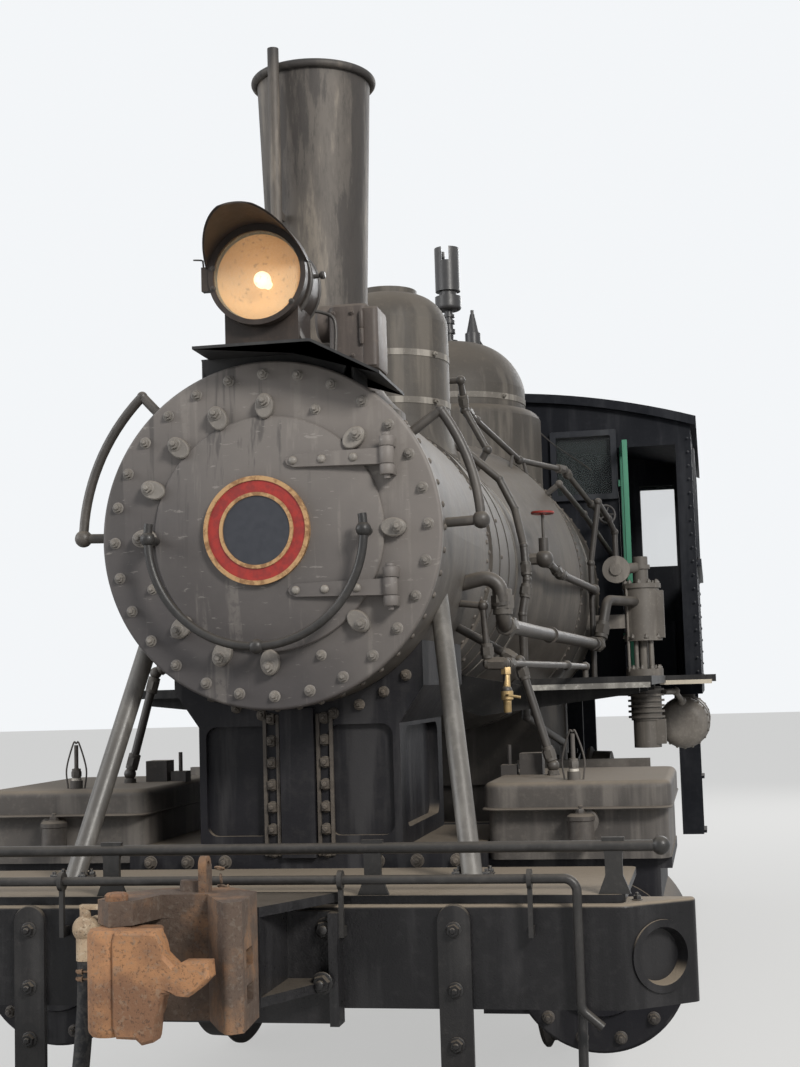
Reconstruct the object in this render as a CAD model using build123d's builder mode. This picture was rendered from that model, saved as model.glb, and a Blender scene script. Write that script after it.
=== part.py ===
from build123d import *
from math import asin, atan2, cos, degrees, pi, radians, sin, sqrt
import os

os.makedirs("parts", exist_ok=True)

# A small six-wheeled switching engine, in millimetres. X runs to the engine's left side,
# Y to the rear and Z up. Height zero is the lowest point of the wheel flanges, and the
# origin lies halfway along the whole length. Heights are given above the rail.

# Reference places
flange_depth = 28
rail_top = flange_depth
knuckle_reach = 1200
tail_reach = 7400
smokebox_face = (knuckle_reach - tail_reach) / 2
seat_gap = 0.3
pin_gap = 0.3

# Wheels, axles and rods
tread_r = 559
wheel_back_x = 680
tyre_width = 140
tyre_thickness = 65
rim_thickness = 42
flange_width = 34
tread_fall = 4
hub_r = 140
hub_proud = 6
spoke_count = 13
spoke_thickness = 56
spoke_root = 74
spoke_tip = 50
axle_r = 85
axle_fit = 0.05
axle_step = 1450
front_axle_y = smokebox_face + 1950
axle_z = rail_top + tread_r
crank_throw = 305
crank_boss_r = 108
crank_pin_r = 55
crank_collar_r = 82
rod_thickness = 60
rod_depth = 105
rod_boss_r = 112
rod_side_gap = 3
collar_thickness = 14
pin_break = 10
left_crank_angle = 235
right_crank_angle = 325

# Frames
frame_x = 500
frame_thickness = 100
frame_top_z = rail_top + 905
frame_rail_depth = 110
pedestal_leg = 70
box_width = 250
box_half_height = 150
binder_z = rail_top + 285
binder_depth = 50
lower_rail_depth = 75
frame_front_y = smokebox_face - 270
frame_back_y = smokebox_face + 7150
spring_half = 430
leaf_thickness = 13
leaf_count = 7

# Cylinders, steam chests and slide bars
cylinder_x = 1020
cylinder_z = rail_top + 560
cylinder_r = 313
cylinder_front_y = smokebox_face + 570
cylinder_length = 760
cover_r = 225
cover_proud = 42
cover_flange = 22
chest_inner_x = 632
chest_outer_x = 1302
chest_front_y = smokebox_face + 500
chest_length = 900
chest_bottom_z = rail_top + 930
chest_height = 274
chest_lid = 96
chest_corner_r = 60
guide_length = 1230
guide_spacing = 400
guide_bar = 70
guide_bar_depth = 58
crosshead_length = 380
piston_rod_r = 36
main_rod_length = 1480

# Boiler and smokebox
boiler_z = rail_top + 2090
smokebox_r = 590
smokebox_wall = 14
smokebox_length = 1240
ring_r = 600
ring_thickness = 34
door_opening_r = 385
door_r = 405
door_edge = 16
door_crown = 26
door_flat_r = 120
door_hinge_x = 428
door_hinge_out = 52
boiler_front_r = 602
boiler_back_r = 790
cone_start_y = smokebox_face + 2520
cone_end_y = smokebox_face + 3300
boiler_end_y = smokebox_face + 6150
firebox_front_y = smokebox_face + 3900
firebox_half = 488
firebox_bottom_z = rail_top + 980

# Stack, domes and lamp
stack_y = smokebox_face + 810
stack_top_z = rail_top + 3990
stack_top_r = 226
stack_neck_r = 192
stack_neck_z = rail_top + 3060
stack_base_r = 330
stack_wall = 12
stack_bead_r = 16
sand_dome_y = smokebox_face + 2190
sand_dome_r = 292
sand_dome_top_z = rail_top + 3450
steam_dome_y = smokebox_face + 4120
steam_dome_r = 440
steam_dome_top_z = rail_top + 3590
lamp_z = rail_top + 2967
lamp_y = smokebox_face - 100
lamp_x = 4
lamp_r = 162
lamp_depth = 300
platform_z = rail_top + 2725

# Cab, boards and floor
cab_front_y = smokebox_face + 4730
cab_back_y = smokebox_face + 7040
cab_half = 1396
cab_wall = 40
cab_floor_z = rail_top + 1500
floor_thickness = 45
roof_r = 4760
roof_crown_z = rail_top + 3385
roof_half = 1433
roof_thickness = 55
roof_front_over = 50
doorway_inner_x = 940
doorway_outer_x = 1300
doorway_top_z = rail_top + 3000
doorway_sill_z = rail_top + 1570
board_z = rail_top + 1532
board_thickness = 40
board_inner_x = 640
board_outer_x = 1200
board_front_y = smokebox_face + 1850
wide_board_y = smokebox_face + 3950
wide_board_x = 1480

# Front end
bumper_face_y = smokebox_face - 450
bumper_depth = 180
bumper_bottom_z = rail_top + 600
bumper_top_z = rail_top + 905
bumper_half = 1380
pocket_r = 88
deck_thickness = 25
coupler_z = rail_top + 835
coupler_height = 340


def rect(u0, v0, u1, v1, mode=Mode.ADD):
    """A rectangle of the open sketch between two corners."""
    with Locations(((u0 + u1) / 2, (v0 + v1) / 2)):
        Rectangle(abs(u1 - u0), abs(v1 - v0), mode=mode)


def block(low, high, mode=Mode.ADD):
    """A box of the open part between its lowest and highest corners."""
    size = [b - a for a, b in zip(low, high)]
    with Locations(tuple((a + b) / 2 for a, b in zip(low, high))):
        Box(*size, mode=mode)


def along(start, end):
    """A plane at start whose normal points to end."""
    return Plane(origin=start, z_dir=Vector(*end) - Vector(*start))


def rod_between(start, end, radius, mode=Mode.ADD):
    """A round bar of the open part from start to end."""
    with BuildSketch(along(start, end)) as section:
        Circle(radius)
    extrude(section.sketch, amount=(Vector(*end) - Vector(*start)).length, mode=mode)


def ball(centre, radius, mode=Mode.ADD):
    """A ball of the open part."""
    with Locations(centre):
        Sphere(radius, mode=mode)


def place(x, back, high):
    """A place x across, back behind the smokebox face and high above the rail."""
    return (x, smokebox_face + back, rail_top + high)


def jointed_pipe(radius, joint_r, points):
    """A pipe of the open part in straight runs, with a ball joint at each bend."""
    for start, end in zip(points, points[1:]):
        rod_between(start, end, radius)
    for corner in points[1:-1]:
        ball(corner, joint_r)


def bent_pipe(points, bend_r, radius):
    """A round pipe of the open part along straight runs joined by bends."""
    with BuildLine() as path:
        FilletPolyline(*points, radius=bend_r)
    start = Plane(origin=path.line @ 0, z_dir=path.line % 0)
    with BuildSketch(start) as section:
        Circle(radius)
    sweep(section.sketch, path=path.line)


# Crank pin places, worked out from the axles
axle_ys = [front_axle_y + step * axle_step for step in range(3)]
main_axle_y = axle_ys[1]
crank_angles = {"left": left_crank_angle, "right": right_crank_angle}


def crank_pin_place(axle_y, angle):
    return (
        axle_y + crank_throw * cos(radians(angle)),
        axle_z + crank_throw * sin(radians(angle)),
    )


# Wheel planes across the engine
boss_face_x = wheel_back_x + tyre_width + 45
rod_inner_x = boss_face_x + rod_side_gap
rod_outer_x = rod_inner_x + rod_thickness
collar_x = rod_outer_x + rod_side_gap
pin_end_x = collar_x + collar_thickness
rim_r = tread_r - tyre_thickness - rim_thickness
spoke_x = wheel_back_x + 40

# Driving wheel, drawn at the origin on the left side with its crank towards the rear
with BuildPart() as wheel_blank:
    with BuildSketch(Plane.XY):
        with BuildLine():
            Polyline(
                (wheel_back_x, rim_r),
                (wheel_back_x, tread_r + flange_depth - 8),
                (wheel_back_x + 8, tread_r + flange_depth),
                (wheel_back_x + 18, tread_r + flange_depth),
                (wheel_back_x + flange_width, tread_r),
                (wheel_back_x + tyre_width, tread_r - tread_fall),
                (wheel_back_x + tyre_width, rim_r),
                close=True,
            )
        make_face()
    revolve(axis=Axis.X)
    with BuildSketch(Plane.YZ.offset(spoke_x)):
        with PolarLocations(0, spoke_count):
            Polygon(
                (hub_r - 10, -spoke_root / 2),
                (rim_r + 5, -spoke_tip / 2),
                (rim_r + 5, spoke_tip / 2),
                (hub_r - 10, spoke_root / 2),
                align=None,
            )
    extrude(amount=spoke_thickness)
    with BuildSketch(Plane.YZ.offset(wheel_back_x - hub_proud)):
        Circle(hub_r)
    extrude(amount=boss_face_x - wheel_back_x + hub_proud)
    with BuildSketch(Plane.YZ.offset(spoke_x)):
        Circle(hub_r)
        with Locations((crank_throw, 0)):
            Circle(crank_boss_r)
        make_hull()
    extrude(amount=boss_face_x - spoke_x)
    with BuildSketch(Plane.YZ.offset(spoke_x - 10)):
        Circle(rim_r + 5)
        rect(-rim_r - 10, -rim_r - 10, -hub_r - 125, rim_r + 10, mode=Mode.INTERSECT)
    extrude(amount=spoke_thickness + 30)
    with BuildSketch(Plane.YZ.offset(boss_face_x)):
        with Locations((crank_throw, 0)):
            Circle(crank_pin_r)
    extrude(amount=pin_end_x - boss_face_x)
    with BuildSketch(Plane.YZ.offset(collar_x)):
        with Locations((crank_throw, 0)):
            Circle(crank_collar_r)
    extrude(amount=collar_thickness)
    with BuildSketch(Plane.YZ.offset(wheel_back_x - hub_proud)):
        Circle(axle_r + axle_fit)
    extrude(amount=boss_face_x - wheel_back_x + hub_proud, mode=Mode.SUBTRACT)

with BuildPart() as wheel_blank_right:
    mirror(wheel_blank.part, about=Plane.YZ)

blanks = {"left": wheel_blank.part, "right": wheel_blank_right.part}
for axle_name, axle_y in zip(("front", "main", "rear"), axle_ys):
    for side, blank in blanks.items():
        with BuildPart() as wheel:
            with Locations(Location((0, axle_y, axle_z), (crank_angles[side], 0, 0))):
                add(blank)
        wheel.part.label = f"wheel_{axle_name}_{side}"
        export_step(wheel.part, f"parts/wheel_{axle_name}_{side}.step")
    with BuildPart() as axle:
        with BuildSketch(Plane.YZ.offset(-boss_face_x)):
            with Locations((axle_y, axle_z)):
                Circle(axle_r)
        extrude(amount=2 * boss_face_x)
    axle.part.label = f"axle_{axle_name}"
    export_step(axle.part, f"parts/axle_{axle_name}.step")

# Side rods, one fluted bar on each side over three crank pins
for side, sign in (("left", 1), ("right", -1)):
    angle = crank_angles[side]
    pins = [crank_pin_place(axle_y, angle) for axle_y in axle_ys]
    rod_z = pins[0][1]
    with BuildPart() as side_rod:
        with BuildSketch(Plane.YZ.offset(rod_inner_x)):
            rect(pins[0][0], rod_z - rod_depth / 2, pins[2][0], rod_z + rod_depth / 2)
            with Locations(*pins):
                Circle(rod_boss_r)
            with Locations(*[(y, z + rod_boss_r) for y, z in pins]):
                Rectangle(46, 44)
            with Locations(*pins):
                Circle(crank_pin_r + pin_gap, mode=Mode.SUBTRACT)
        extrude(amount=rod_thickness)
        flute = rod_thickness / 4
        for (y_a, _), (y_b, _) in zip(pins, pins[1:]):
            for plane_x in (rod_inner_x, rod_outer_x - flute):
                with BuildSketch(Plane.YZ.offset(plane_x)):
                    with Locations(((y_a + y_b) / 2, rod_z)):
                        SlotOverall(y_b - y_a - 2 * rod_boss_r - 90, rod_depth - 50)
                extrude(amount=flute, mode=Mode.SUBTRACT)
        if side == "right":
            mirror(about=Plane.YZ, mode=Mode.REPLACE)
    side_rod.part.label = f"side_rod_{side}"
    export_step(side_rod.part, f"parts/side_rod_{side}.step")

# Bar frames with their pedestals, lower rail, binders and brake hangers
pedestal_half = box_width / 2 + pedestal_leg
for side in ("left", "right"):
    with BuildPart() as frame:
        with BuildSketch(Plane.YZ.offset(frame_x)):
            rect(frame_front_y, frame_top_z - frame_rail_depth, frame_back_y, frame_top_z)
            rect(
                axle_ys[0] - pedestal_half,
                binder_z + binder_depth,
                axle_ys[2] + pedestal_half,
                binder_z + binder_depth + lower_rail_depth,
            )
            for axle_y in axle_ys:
                rect(
                    axle_y - pedestal_half,
                    binder_z,
                    axle_y + pedestal_half,
                    frame_top_z - frame_rail_depth / 2,
                )
            for axle_y in axle_ys:
                rect(
                    axle_y - box_width / 2,
                    binder_z + binder_depth,
                    axle_y + box_width / 2,
                    frame_top_z - frame_rail_depth,
                    mode=Mode.SUBTRACT,
                )
        extrude(amount=frame_thickness)
        if side == "right":
            mirror(about=Plane.YZ, mode=Mode.REPLACE)
    frame.part.label = f"frame_{side}"
    export_step(frame.part, f"parts/frame_{side}.step")

# Axle box with its stirrup over the frame and its leaf spring, drawn about the frame's middle
stirrup_thickness = 14
spring_radius = 2600
half_frame = frame_thickness / 2
spring_seat_z = frame_top_z + 60
with BuildPart() as axle_box:
    with BuildSketch(Plane.YZ.offset(-half_frame)):
        rect(
            seat_gap - box_width / 2,
            axle_z - box_half_height,
            box_width / 2 - seat_gap,
            axle_z + box_half_height,
        )
    extrude(amount=frame_thickness)
    with BuildSketch(Plane.YZ):
        rect(-45, axle_z, 45, spring_seat_z)
        with Locations((0, axle_z)):
            Circle(axle_r + 28)
    extrude(amount=half_frame + seat_gap + stirrup_thickness, both=True)
    block(
        (-half_frame - seat_gap, -46, axle_z + box_half_height + seat_gap),
        (half_frame + seat_gap, 46, frame_top_z + seat_gap),
        mode=Mode.SUBTRACT,
    )
    with BuildSketch(Plane.YZ):
        for leaf in range(leaf_count):
            half = spring_half - (leaf_count - 1 - leaf) * (spring_half - 110) / leaf_count
            outer = spring_radius - leaf * leaf_thickness
            turn = degrees(asin(half / spring_radius))
            centre_z = spring_seat_z + spring_radius
            with BuildLine():
                low = CenterArc((0, centre_z), outer, 270 - turn, 2 * turn)
                high = CenterArc((0, centre_z), outer - leaf_thickness, 270 - turn, 2 * turn)
                Line(low @ 0, high @ 0)
                Line(low @ 1, high @ 1)
            make_face()
    extrude(amount=half_frame - 6, both=True)
    pack_height = leaf_count * leaf_thickness
    block(
        (5 - half_frame, -40, spring_seat_z - 5),
        (half_frame - 5, 40, spring_seat_z + pack_height + 10),
    )
    hanger_top = spring_seat_z + pack_height + 62
    for end in (-1, 1):
        hanger_y = end * (spring_half - 26)
        block(
            (-26, hanger_y - 15, frame_top_z + seat_gap),
            (26, hanger_y + 15, hanger_top),
        )
    with BuildSketch(Plane.YZ):
        with Locations((0, axle_z)):
            Circle(axle_r + pin_gap)
    extrude(amount=2 * frame_thickness, both=True, mode=Mode.SUBTRACT)

frame_middle_x = frame_x + half_frame
with BuildPart() as springs:
    with Locations(*[(x, y, 0) for y in axle_ys for x in (frame_middle_x, -frame_middle_x)]):
        add(axle_box.part)
springs.part.label = "springs"
export_step(springs.part, "parts/springs.step")

# Cross ties between the frames: front deck, guide yoke tie, firebox tie and rear deck casting
deck_z = bumper_top_z
with BuildPart() as frame_ties:
    tie_half = frame_x - seat_gap
    for tie_y, tie_length, tie_low, tie_high in (
        (smokebox_face - 200, 70, 760, 880),
        (smokebox_face + 1560, 60, 640, 880),
        (smokebox_face + 2640, 60, 700, 880),
        (smokebox_face + 6250, 80, 700, 880),
    ):
        block(
            (-tie_half, tie_y - tie_length / 2, rail_top + tie_low),
            (tie_half, tie_y + tie_length / 2, rail_top + tie_high),
        )

# Rear drawbar casting between the frame ends, with its pin hole and chafing face
drawbar_pin_r = 38
drawbar_z = rail_top + 830
drawbar_height = 190
drawbar_back_y = smokebox_face + tail_reach - 90
pocket_height = 80
with BuildPart() as drawbar_casting:
    with BuildSketch(Plane.XY.offset(drawbar_z - drawbar_height / 2)):
        rect(-tie_half, frame_back_y - 420, tie_half, frame_back_y)
        rect(-300, frame_back_y - 50, 300, drawbar_back_y)
    extrude(amount=drawbar_height)
    chafing_edges = drawbar_casting.edges().filter_by(Axis.Z).group_by(Axis.Y)[-1]
    fillet(chafing_edges, radius=45)
    block(
        (-130, frame_back_y - 330, drawbar_z - pocket_height / 2),
        (130, drawbar_back_y + 10, drawbar_z + pocket_height / 2),
        mode=Mode.SUBTRACT,
    )
    with BuildSketch(Plane.XY.offset(drawbar_z - drawbar_height / 2)):
        with Locations((0, frame_back_y - 120)):
            Circle(drawbar_pin_r)
    extrude(amount=drawbar_height, mode=Mode.SUBTRACT)
with BuildPart() as all_ties:
    add(frame_ties.part)
    add(drawbar_casting.part)
all_ties.part.label = "frame_ties"
export_step(all_ties.part, "parts/frame_ties.step")

# Bumper beam with swept ends and a round poling pocket in each corner
sweep_x = 200
sweep_y = 145
bumper_edge_r = 14
pocket_rim = 18
pocket_z = rail_top + 745
with BuildPart() as bumper_beam:
    with BuildSketch(Plane.XY.offset(bumper_bottom_z)) as beam_plan:
        Polygon(
            (-bumper_half, bumper_face_y + bumper_depth),
            (-bumper_half, bumper_face_y + sweep_y),
            (sweep_x - bumper_half, bumper_face_y),
            (bumper_half - sweep_x, bumper_face_y),
            (bumper_half, bumper_face_y + sweep_y),
            (bumper_half, bumper_face_y + bumper_depth),
            align=None,
        )
        fillet(beam_plan.vertices().group_by(Axis.Y)[0], radius=90)
        fillet(beam_plan.vertices().group_by(Axis.X)[0].sort_by(Axis.Y)[0], radius=30)
        fillet(beam_plan.vertices().group_by(Axis.X)[-1].sort_by(Axis.Y)[0], radius=30)
    extrude(amount=bumper_top_z - bumper_bottom_z)
    fillet(bumper_beam.faces().sort_by(Axis.Z)[-1].edges(), radius=bumper_edge_r)
    for sign in (1, -1):
        outward = Vector(sign * sweep_y, -sweep_x, 0).normalized()
        surface = Vector(sign * (bumper_half - sweep_x / 2), bumper_face_y + sweep_y / 2, pocket_z)
        with BuildSketch(Plane(origin=surface - outward * 60, z_dir=outward)):
            Circle(pocket_r + pocket_rim)
        extrude(amount=68)
        with BuildSketch(Plane(origin=surface - outward * 32, z_dir=outward)):
            Circle(pocket_r - 12)
        extrude(amount=60, taper=-12, mode=Mode.SUBTRACT)
bumper_beam.part.label = "bumper_beam"
export_step(bumper_beam.part, "parts/bumper_beam.step")

# Front deck plate over the beam and the frame ends
with BuildPart() as front_deck:
    with BuildSketch(Plane.XY.offset(deck_z)):
        rect(-1180, bumper_face_y + 20, 1180, smokebox_face + 290)
    extrude(amount=deck_thickness)
    fillet(front_deck.edges().filter_by(Axis.Z), radius=30)
front_deck.part.label = "front_deck"
export_step(front_deck.part, "parts/front_deck.step")

# Draft casting on the beam: a bolted plate, a horn round the coupler's shank and side webs
draft_plate = 30
draft_half = 330
draft_low_z = rail_top + 560
horn_half = 165
horn_front_y = bumper_face_y - 330
horn_low_z = rail_top + 665
horn_high_z = rail_top + 945
shank_half = 70
with BuildPart() as draft_casting:
    block(
        (-draft_half, bumper_face_y - draft_plate, draft_low_z),
        (draft_half, bumper_face_y, bumper_top_z - bumper_edge_r),
    )
    block((-horn_half, horn_front_y, horn_low_z), (horn_half, bumper_face_y, horn_high_z))
    for web_z in (horn_low_z, horn_high_z - 28):
        with BuildSketch(Plane.XY.offset(web_z)):
            Polygon(
                (-draft_half, bumper_face_y),
                (draft_half, bumper_face_y),
                (horn_half, horn_front_y),
                (-horn_half, horn_front_y),
                align=None,
            )
        extrude(amount=28)
    for sign in (1, -1):
        with BuildSketch(Plane.YZ.offset(sign * (draft_half - 28))):
            rect(bumper_face_y - 75, draft_low_z, bumper_face_y, bumper_top_z - bumper_edge_r)
        extrude(amount=sign * 28)
    block(
        (-shank_half - 8, horn_front_y - 1, coupler_z - shank_half - seat_gap),
        (shank_half + 8, bumper_face_y - 60, coupler_z + shank_half + 8),
        mode=Mode.SUBTRACT,
    )
draft_casting.part.label = "draft_casting"
export_step(draft_casting.part, "parts/draft_casting.step")

# Coupler head on its shank: a plan outline with the guard arm, lugs over and under the knuckle
knuckle_y = smokebox_face - knuckle_reach
head_back_y = horn_front_y - 60
knuckle_pin_x = -150
knuckle_pin_y = knuckle_y + 130
knuckle_pin_r = 24
lug_thickness = 64
guard_x = 175
lock_eye_x = 35
lock_eye_y = head_back_y - 62
lock_eye_z = rail_top + 1078
with BuildPart() as coupler_head:
    block(
        (-shank_half, head_back_y, coupler_z - shank_half),
        (shank_half, bumper_face_y - 70, coupler_z + shank_half),
    )
    with BuildSketch(Plane.XY.offset(coupler_z - coupler_height / 2)) as head_plan:
        with BuildLine():
            Polyline(
                (-95, head_back_y + 30),
                (-190, head_back_y - 70),
                (-212, knuckle_pin_y + 20),
                (-150, knuckle_pin_y - 62),
                (-96, knuckle_pin_y - 20),
                (-60, head_back_y - 120),
                (70, head_back_y - 115),
                (guard_x - 40, knuckle_y + 120),
                (guard_x, knuckle_y + 60),
                (guard_x + 38, knuckle_y + 96),
                (guard_x + 20, head_back_y - 60),
                (95, head_back_y + 30),
                close=True,
            )
        make_face()
    extrude(amount=coupler_height)
    head_corners = coupler_head.edges().filter_by(Axis.Z)
    fillet(head_corners.group_by(Axis.Y)[0], radius=18)
    with BuildSketch(Plane.XY.offset(coupler_z - coupler_height / 2 + lug_thickness)):
        rect(-230, knuckle_y - 10, -40, head_back_y - 118)
    extrude(amount=coupler_height - 2 * lug_thickness, mode=Mode.SUBTRACT)
    with BuildSketch(Plane.XY.offset(coupler_z - coupler_height / 2)):
        with Locations((knuckle_pin_x, knuckle_pin_y)):
            Circle(knuckle_pin_r + pin_gap)
    extrude(amount=coupler_height, mode=Mode.SUBTRACT)
    with BuildSketch(Plane.XY.offset(coupler_z + coupler_height / 2)):
        with Locations((10, head_back_y - 40)):
            SlotOverall(92, 52)
    extrude(amount=30, taper=8)
    with BuildSketch(Plane.YZ.offset(lock_eye_x)):
        with Locations((lock_eye_y, lock_eye_z)):
            Circle(26)
        rect(lock_eye_y - 26, coupler_z, lock_eye_y + 30, lock_eye_z)
        with Locations((lock_eye_y, lock_eye_z)):
            Circle(12, mode=Mode.SUBTRACT)
    extrude(amount=22)
    for pocket_low_z in (rail_top + 728, rail_top + 822):
        block(
            (guard_x, knuckle_y + 140, pocket_low_z),
            (guard_x + 60, knuckle_y + 225, pocket_low_z + 50),
            mode=Mode.SUBTRACT,
        )
coupler_head.part.label = "coupler_head"
export_step(coupler_head.part, "parts/coupler_head.step")

# Knuckle on its pin between the lugs
knuckle_height = coupler_height - 2 * lug_thickness - 4
nose_low_z = rail_top + 652
nose_depth = 62
with BuildPart() as coupler_knuckle:
    with BuildSketch(Plane.XY.offset(coupler_z - knuckle_height / 2)):
        with BuildLine():
            Polyline(
                (-206, knuckle_pin_y + 20),
                (-200, knuckle_y + 40),
                (-150, knuckle_y),
                (-40, knuckle_y + 6),
                (-12, knuckle_y + 40),
                (-20, knuckle_y + 92),
                (-78, knuckle_y + 104),
                (-96, knuckle_pin_y + 70),
                (-84, head_back_y - 124),
                (-160, head_back_y - 124),
                close=True,
            )
        make_face()
    extrude(amount=knuckle_height)
    with BuildSketch(Plane.XY.offset(nose_low_z)):
        Polygon(
            (-200, knuckle_y + 40),
            (-150, knuckle_y),
            (-40, knuckle_y + 6),
            (-24, knuckle_y + 40),
            (-28, knuckle_y + nose_depth),
            (-200, knuckle_y + nose_depth),
            align=None,
        )
    extrude(amount=coupler_z - knuckle_height / 2 + 1 - nose_low_z)
    with BuildSketch(Plane.XY.offset(coupler_z - coupler_height / 2 - 22)):
        with Locations((knuckle_pin_x, knuckle_pin_y)):
            Circle(knuckle_pin_r)
    extrude(amount=coupler_height + 44)
    with BuildSketch(Plane.XY.offset(coupler_z + coupler_height / 2 + 2)):
        with Locations((knuckle_pin_x, knuckle_pin_y)):
            Circle(knuckle_pin_r + 14)
    extrude(amount=20)
coupler_knuckle.part.label = "coupler_knuckle"
export_step(coupler_knuckle.part, "parts/coupler_knuckle.step")

# Footboards below the beam, each on two strap hangers and a rod brace
hanger_x = 673
hanger_half = 50
hanger_thickness = 22
hanger_top_z = rail_top + 880
footboard_z = rail_top + 255
footboard_inner_x = 470
footboard_outer_x = 1130
footboard_depth = 230
footboard_thickness = 38
outer_hanger_x = 1040
with BuildPart() as footboard_blank:
    board_y = bumper_face_y - hanger_thickness
    for strap_x in (hanger_x, outer_hanger_x):
        with BuildSketch(Plane.XZ.offset(-bumper_face_y)):
            rect(strap_x - hanger_half, footboard_z, strap_x + hanger_half, hanger_top_z - hanger_half)
            with Locations((strap_x, hanger_top_z - hanger_half)):
                Circle(hanger_half)
        extrude(amount=hanger_thickness)
    block(
        (footboard_inner_x, board_y + 1 - footboard_depth, footboard_z - footboard_thickness),
        (footboard_outer_x, bumper_face_y, footboard_z),
    )
    for strap_x in (hanger_x, outer_hanger_x):
        with BuildSketch(Plane.YZ.offset(strap_x - hanger_half)):
            Polygon(
                (board_y, footboard_z - 1),
                (board_y - footboard_depth + 60, footboard_z - 1),
                (board_y, footboard_z + 90),
                align=None,
            )
        extrude(amount=16)
with BuildPart() as footboards:
    add(footboard_blank.part)
    mirror(footboard_blank.part, about=Plane.YZ)
footboards.part.label = "footboards"
export_step(footboards.part, "parts/footboards.step")

# Rail over the beam on flat waisted posts, with a ball at each end
rail_y = bumper_face_y + 40
rail_z = rail_top + 1070
rail_half = 1290
rail_r = 17
with BuildPart() as front_rail:
    rod_between((-rail_half, rail_y, rail_z), (rail_half, rail_y, rail_z), rail_r)
    for sign in (1, -1):
        ball((sign * rail_half, rail_y, rail_z), 28)
    for post_x in (-1150, -420, 420, 1150):
        with BuildSketch(Plane.XZ.offset(-rail_y - 9)):
            with BuildLine():
                Polyline(
                    (post_x - 48, deck_z + deck_thickness),
                    (post_x + 48, deck_z + deck_thickness),
                    (post_x + 26, deck_z + 80),
                    (post_x + 26, rail_z - 30),
                    (post_x + 34, rail_z + 26),
                    (post_x - 34, rail_z + 26),
                    (post_x - 26, rail_z - 30),
                    (post_x - 26, deck_z + 80),
                    close=True,
                )
            make_face()
        extrude(amount=18)

# Uncoupling lever: a bar ahead of the beam in three eyes, with a handle at its left end
lever_y = bumper_face_y - 42
lever_z = rail_top + 985
lever_r = 14
handle_x = 1045
handle_z = rail_top + 610
with BuildPart() as uncoupling_lever:
    bent_pipe(
        [
            (-handle_x + 130, lever_y, lever_z),
            (handle_x, lever_y, lever_z),
            (handle_x, lever_y, handle_z),
            (handle_x + 60, lever_y, handle_z - 50),
        ],
        38,
        lever_r,
    )
    for eye_x in (-560, 330, 900):
        with BuildSketch(Plane.YZ.offset(eye_x)):
            with Locations((lever_y, lever_z)):
                Circle(lever_r + 15)
            rect(lever_y - 8, deck_z - 90, lever_y + 8, lever_z)
            rect(lever_y, deck_z - 90, bumper_face_y, deck_z - 60)
        extrude(amount=14)
with BuildPart() as front_rails:
    add(front_rail.part)
    add(uncoupling_lever.part)
front_rails.part.label = "front_rails"
export_step(front_rails.part, "parts/front_rails.step")

# Angle cock on the beam, air hose hanging from it and the hose coupling at its end
cock_x = -455
cock_y = bumper_face_y - 95
cock_z = rail_top + 850
hose_r = 26
hose_exit_z = cock_z - 95
hose_route = [
    (cock_x, cock_y, hose_exit_z),
    (cock_x, cock_y, hose_exit_z - 105),
    (cock_x + 2, cock_y - 30, hose_exit_z - 225),
    (cock_x + 8, cock_y - 74, hose_exit_z - 330),
    (cock_x + 18, cock_y - 138, hose_exit_z - 420),
    (cock_x + 30, cock_y - 216, hose_exit_z - 488),
]
with BuildPart() as angle_cock:
    rod_between((cock_x, bumper_face_y, cock_z), (cock_x, cock_y, cock_z), 27)
    ball((cock_x, cock_y, cock_z), 40)
    rod_between((cock_x, cock_y, cock_z), (cock_x, cock_y, hose_exit_z), 29)
    rod_between((cock_x, cock_y, cock_z), (cock_x, cock_y, cock_z + 58), 17)
    block((cock_x - 14, cock_y - 12, cock_z + 58), (cock_x + 110, cock_y + 12, cock_z + 72))
angle_cock.part.label = "angle_cock"
export_step(angle_cock.part, "parts/angle_cock.step")


def bend_radii(points):
    """The radius of each bend of a free hose, 0.45 of its shorter run over tan(half turn)."""
    radii = []
    for before, corner, after in zip(points, points[1:], points[2:]):
        run_in = Vector(*corner) - Vector(*before)
        run_out = Vector(*after) - Vector(*corner)
        half_turn = radians(run_in.get_angle(run_out)) / 2
        radii.append(0.45 * min(run_in.length, run_out.length) / (sin(half_turn) / cos(half_turn)))
    return radii


hose_radii = bend_radii(hose_route)
print("air hose bend radii", [round(r) for r in hose_radii])
with BuildPart() as air_hose:
    with BuildLine() as hose_path:
        FilletPolyline(*hose_route, radius=hose_radii)
    with BuildSketch(Plane(origin=hose_path.line @ 0, z_dir=hose_path.line % 0)):
        Circle(hose_r)
    sweep(path=hose_path.line)
hose_length = sum(edge.length for edge in hose_path.edges())
hose_volume_length = air_hose.part.volume / (pi * hose_r**2)
print("air hose length", round(hose_length), "and by volume", round(hose_volume_length))
air_hose.part.label = "air_hose"
export_step(air_hose.part, "parts/air_hose.step")

hose_end = hose_path.line @ 1
hose_way = hose_path.line % 1
with BuildPart() as hose_coupling:
    with BuildSketch(Plane(origin=hose_end, z_dir=hose_way)) as ferrule:
        Circle(hose_r + 5)
    extrude(amount=46)
    with BuildSketch(Plane(origin=hose_end + hose_way * 40, z_dir=hose_way)):
        Circle(hose_r - 2)
    extrude(amount=50)
    head = hose_end + hose_way * 104
    with BuildSketch(Plane(origin=head - Vector(24, 0, 0), z_dir=(1, 0, 0))):
        Circle(46)
        with Locations((-10, 30)):
            Rectangle(40, 50)
    extrude(amount=48)
hose_coupling.part.label = "hose_coupling"
export_step(hose_coupling.part, "parts/hose_coupling.step")

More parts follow.
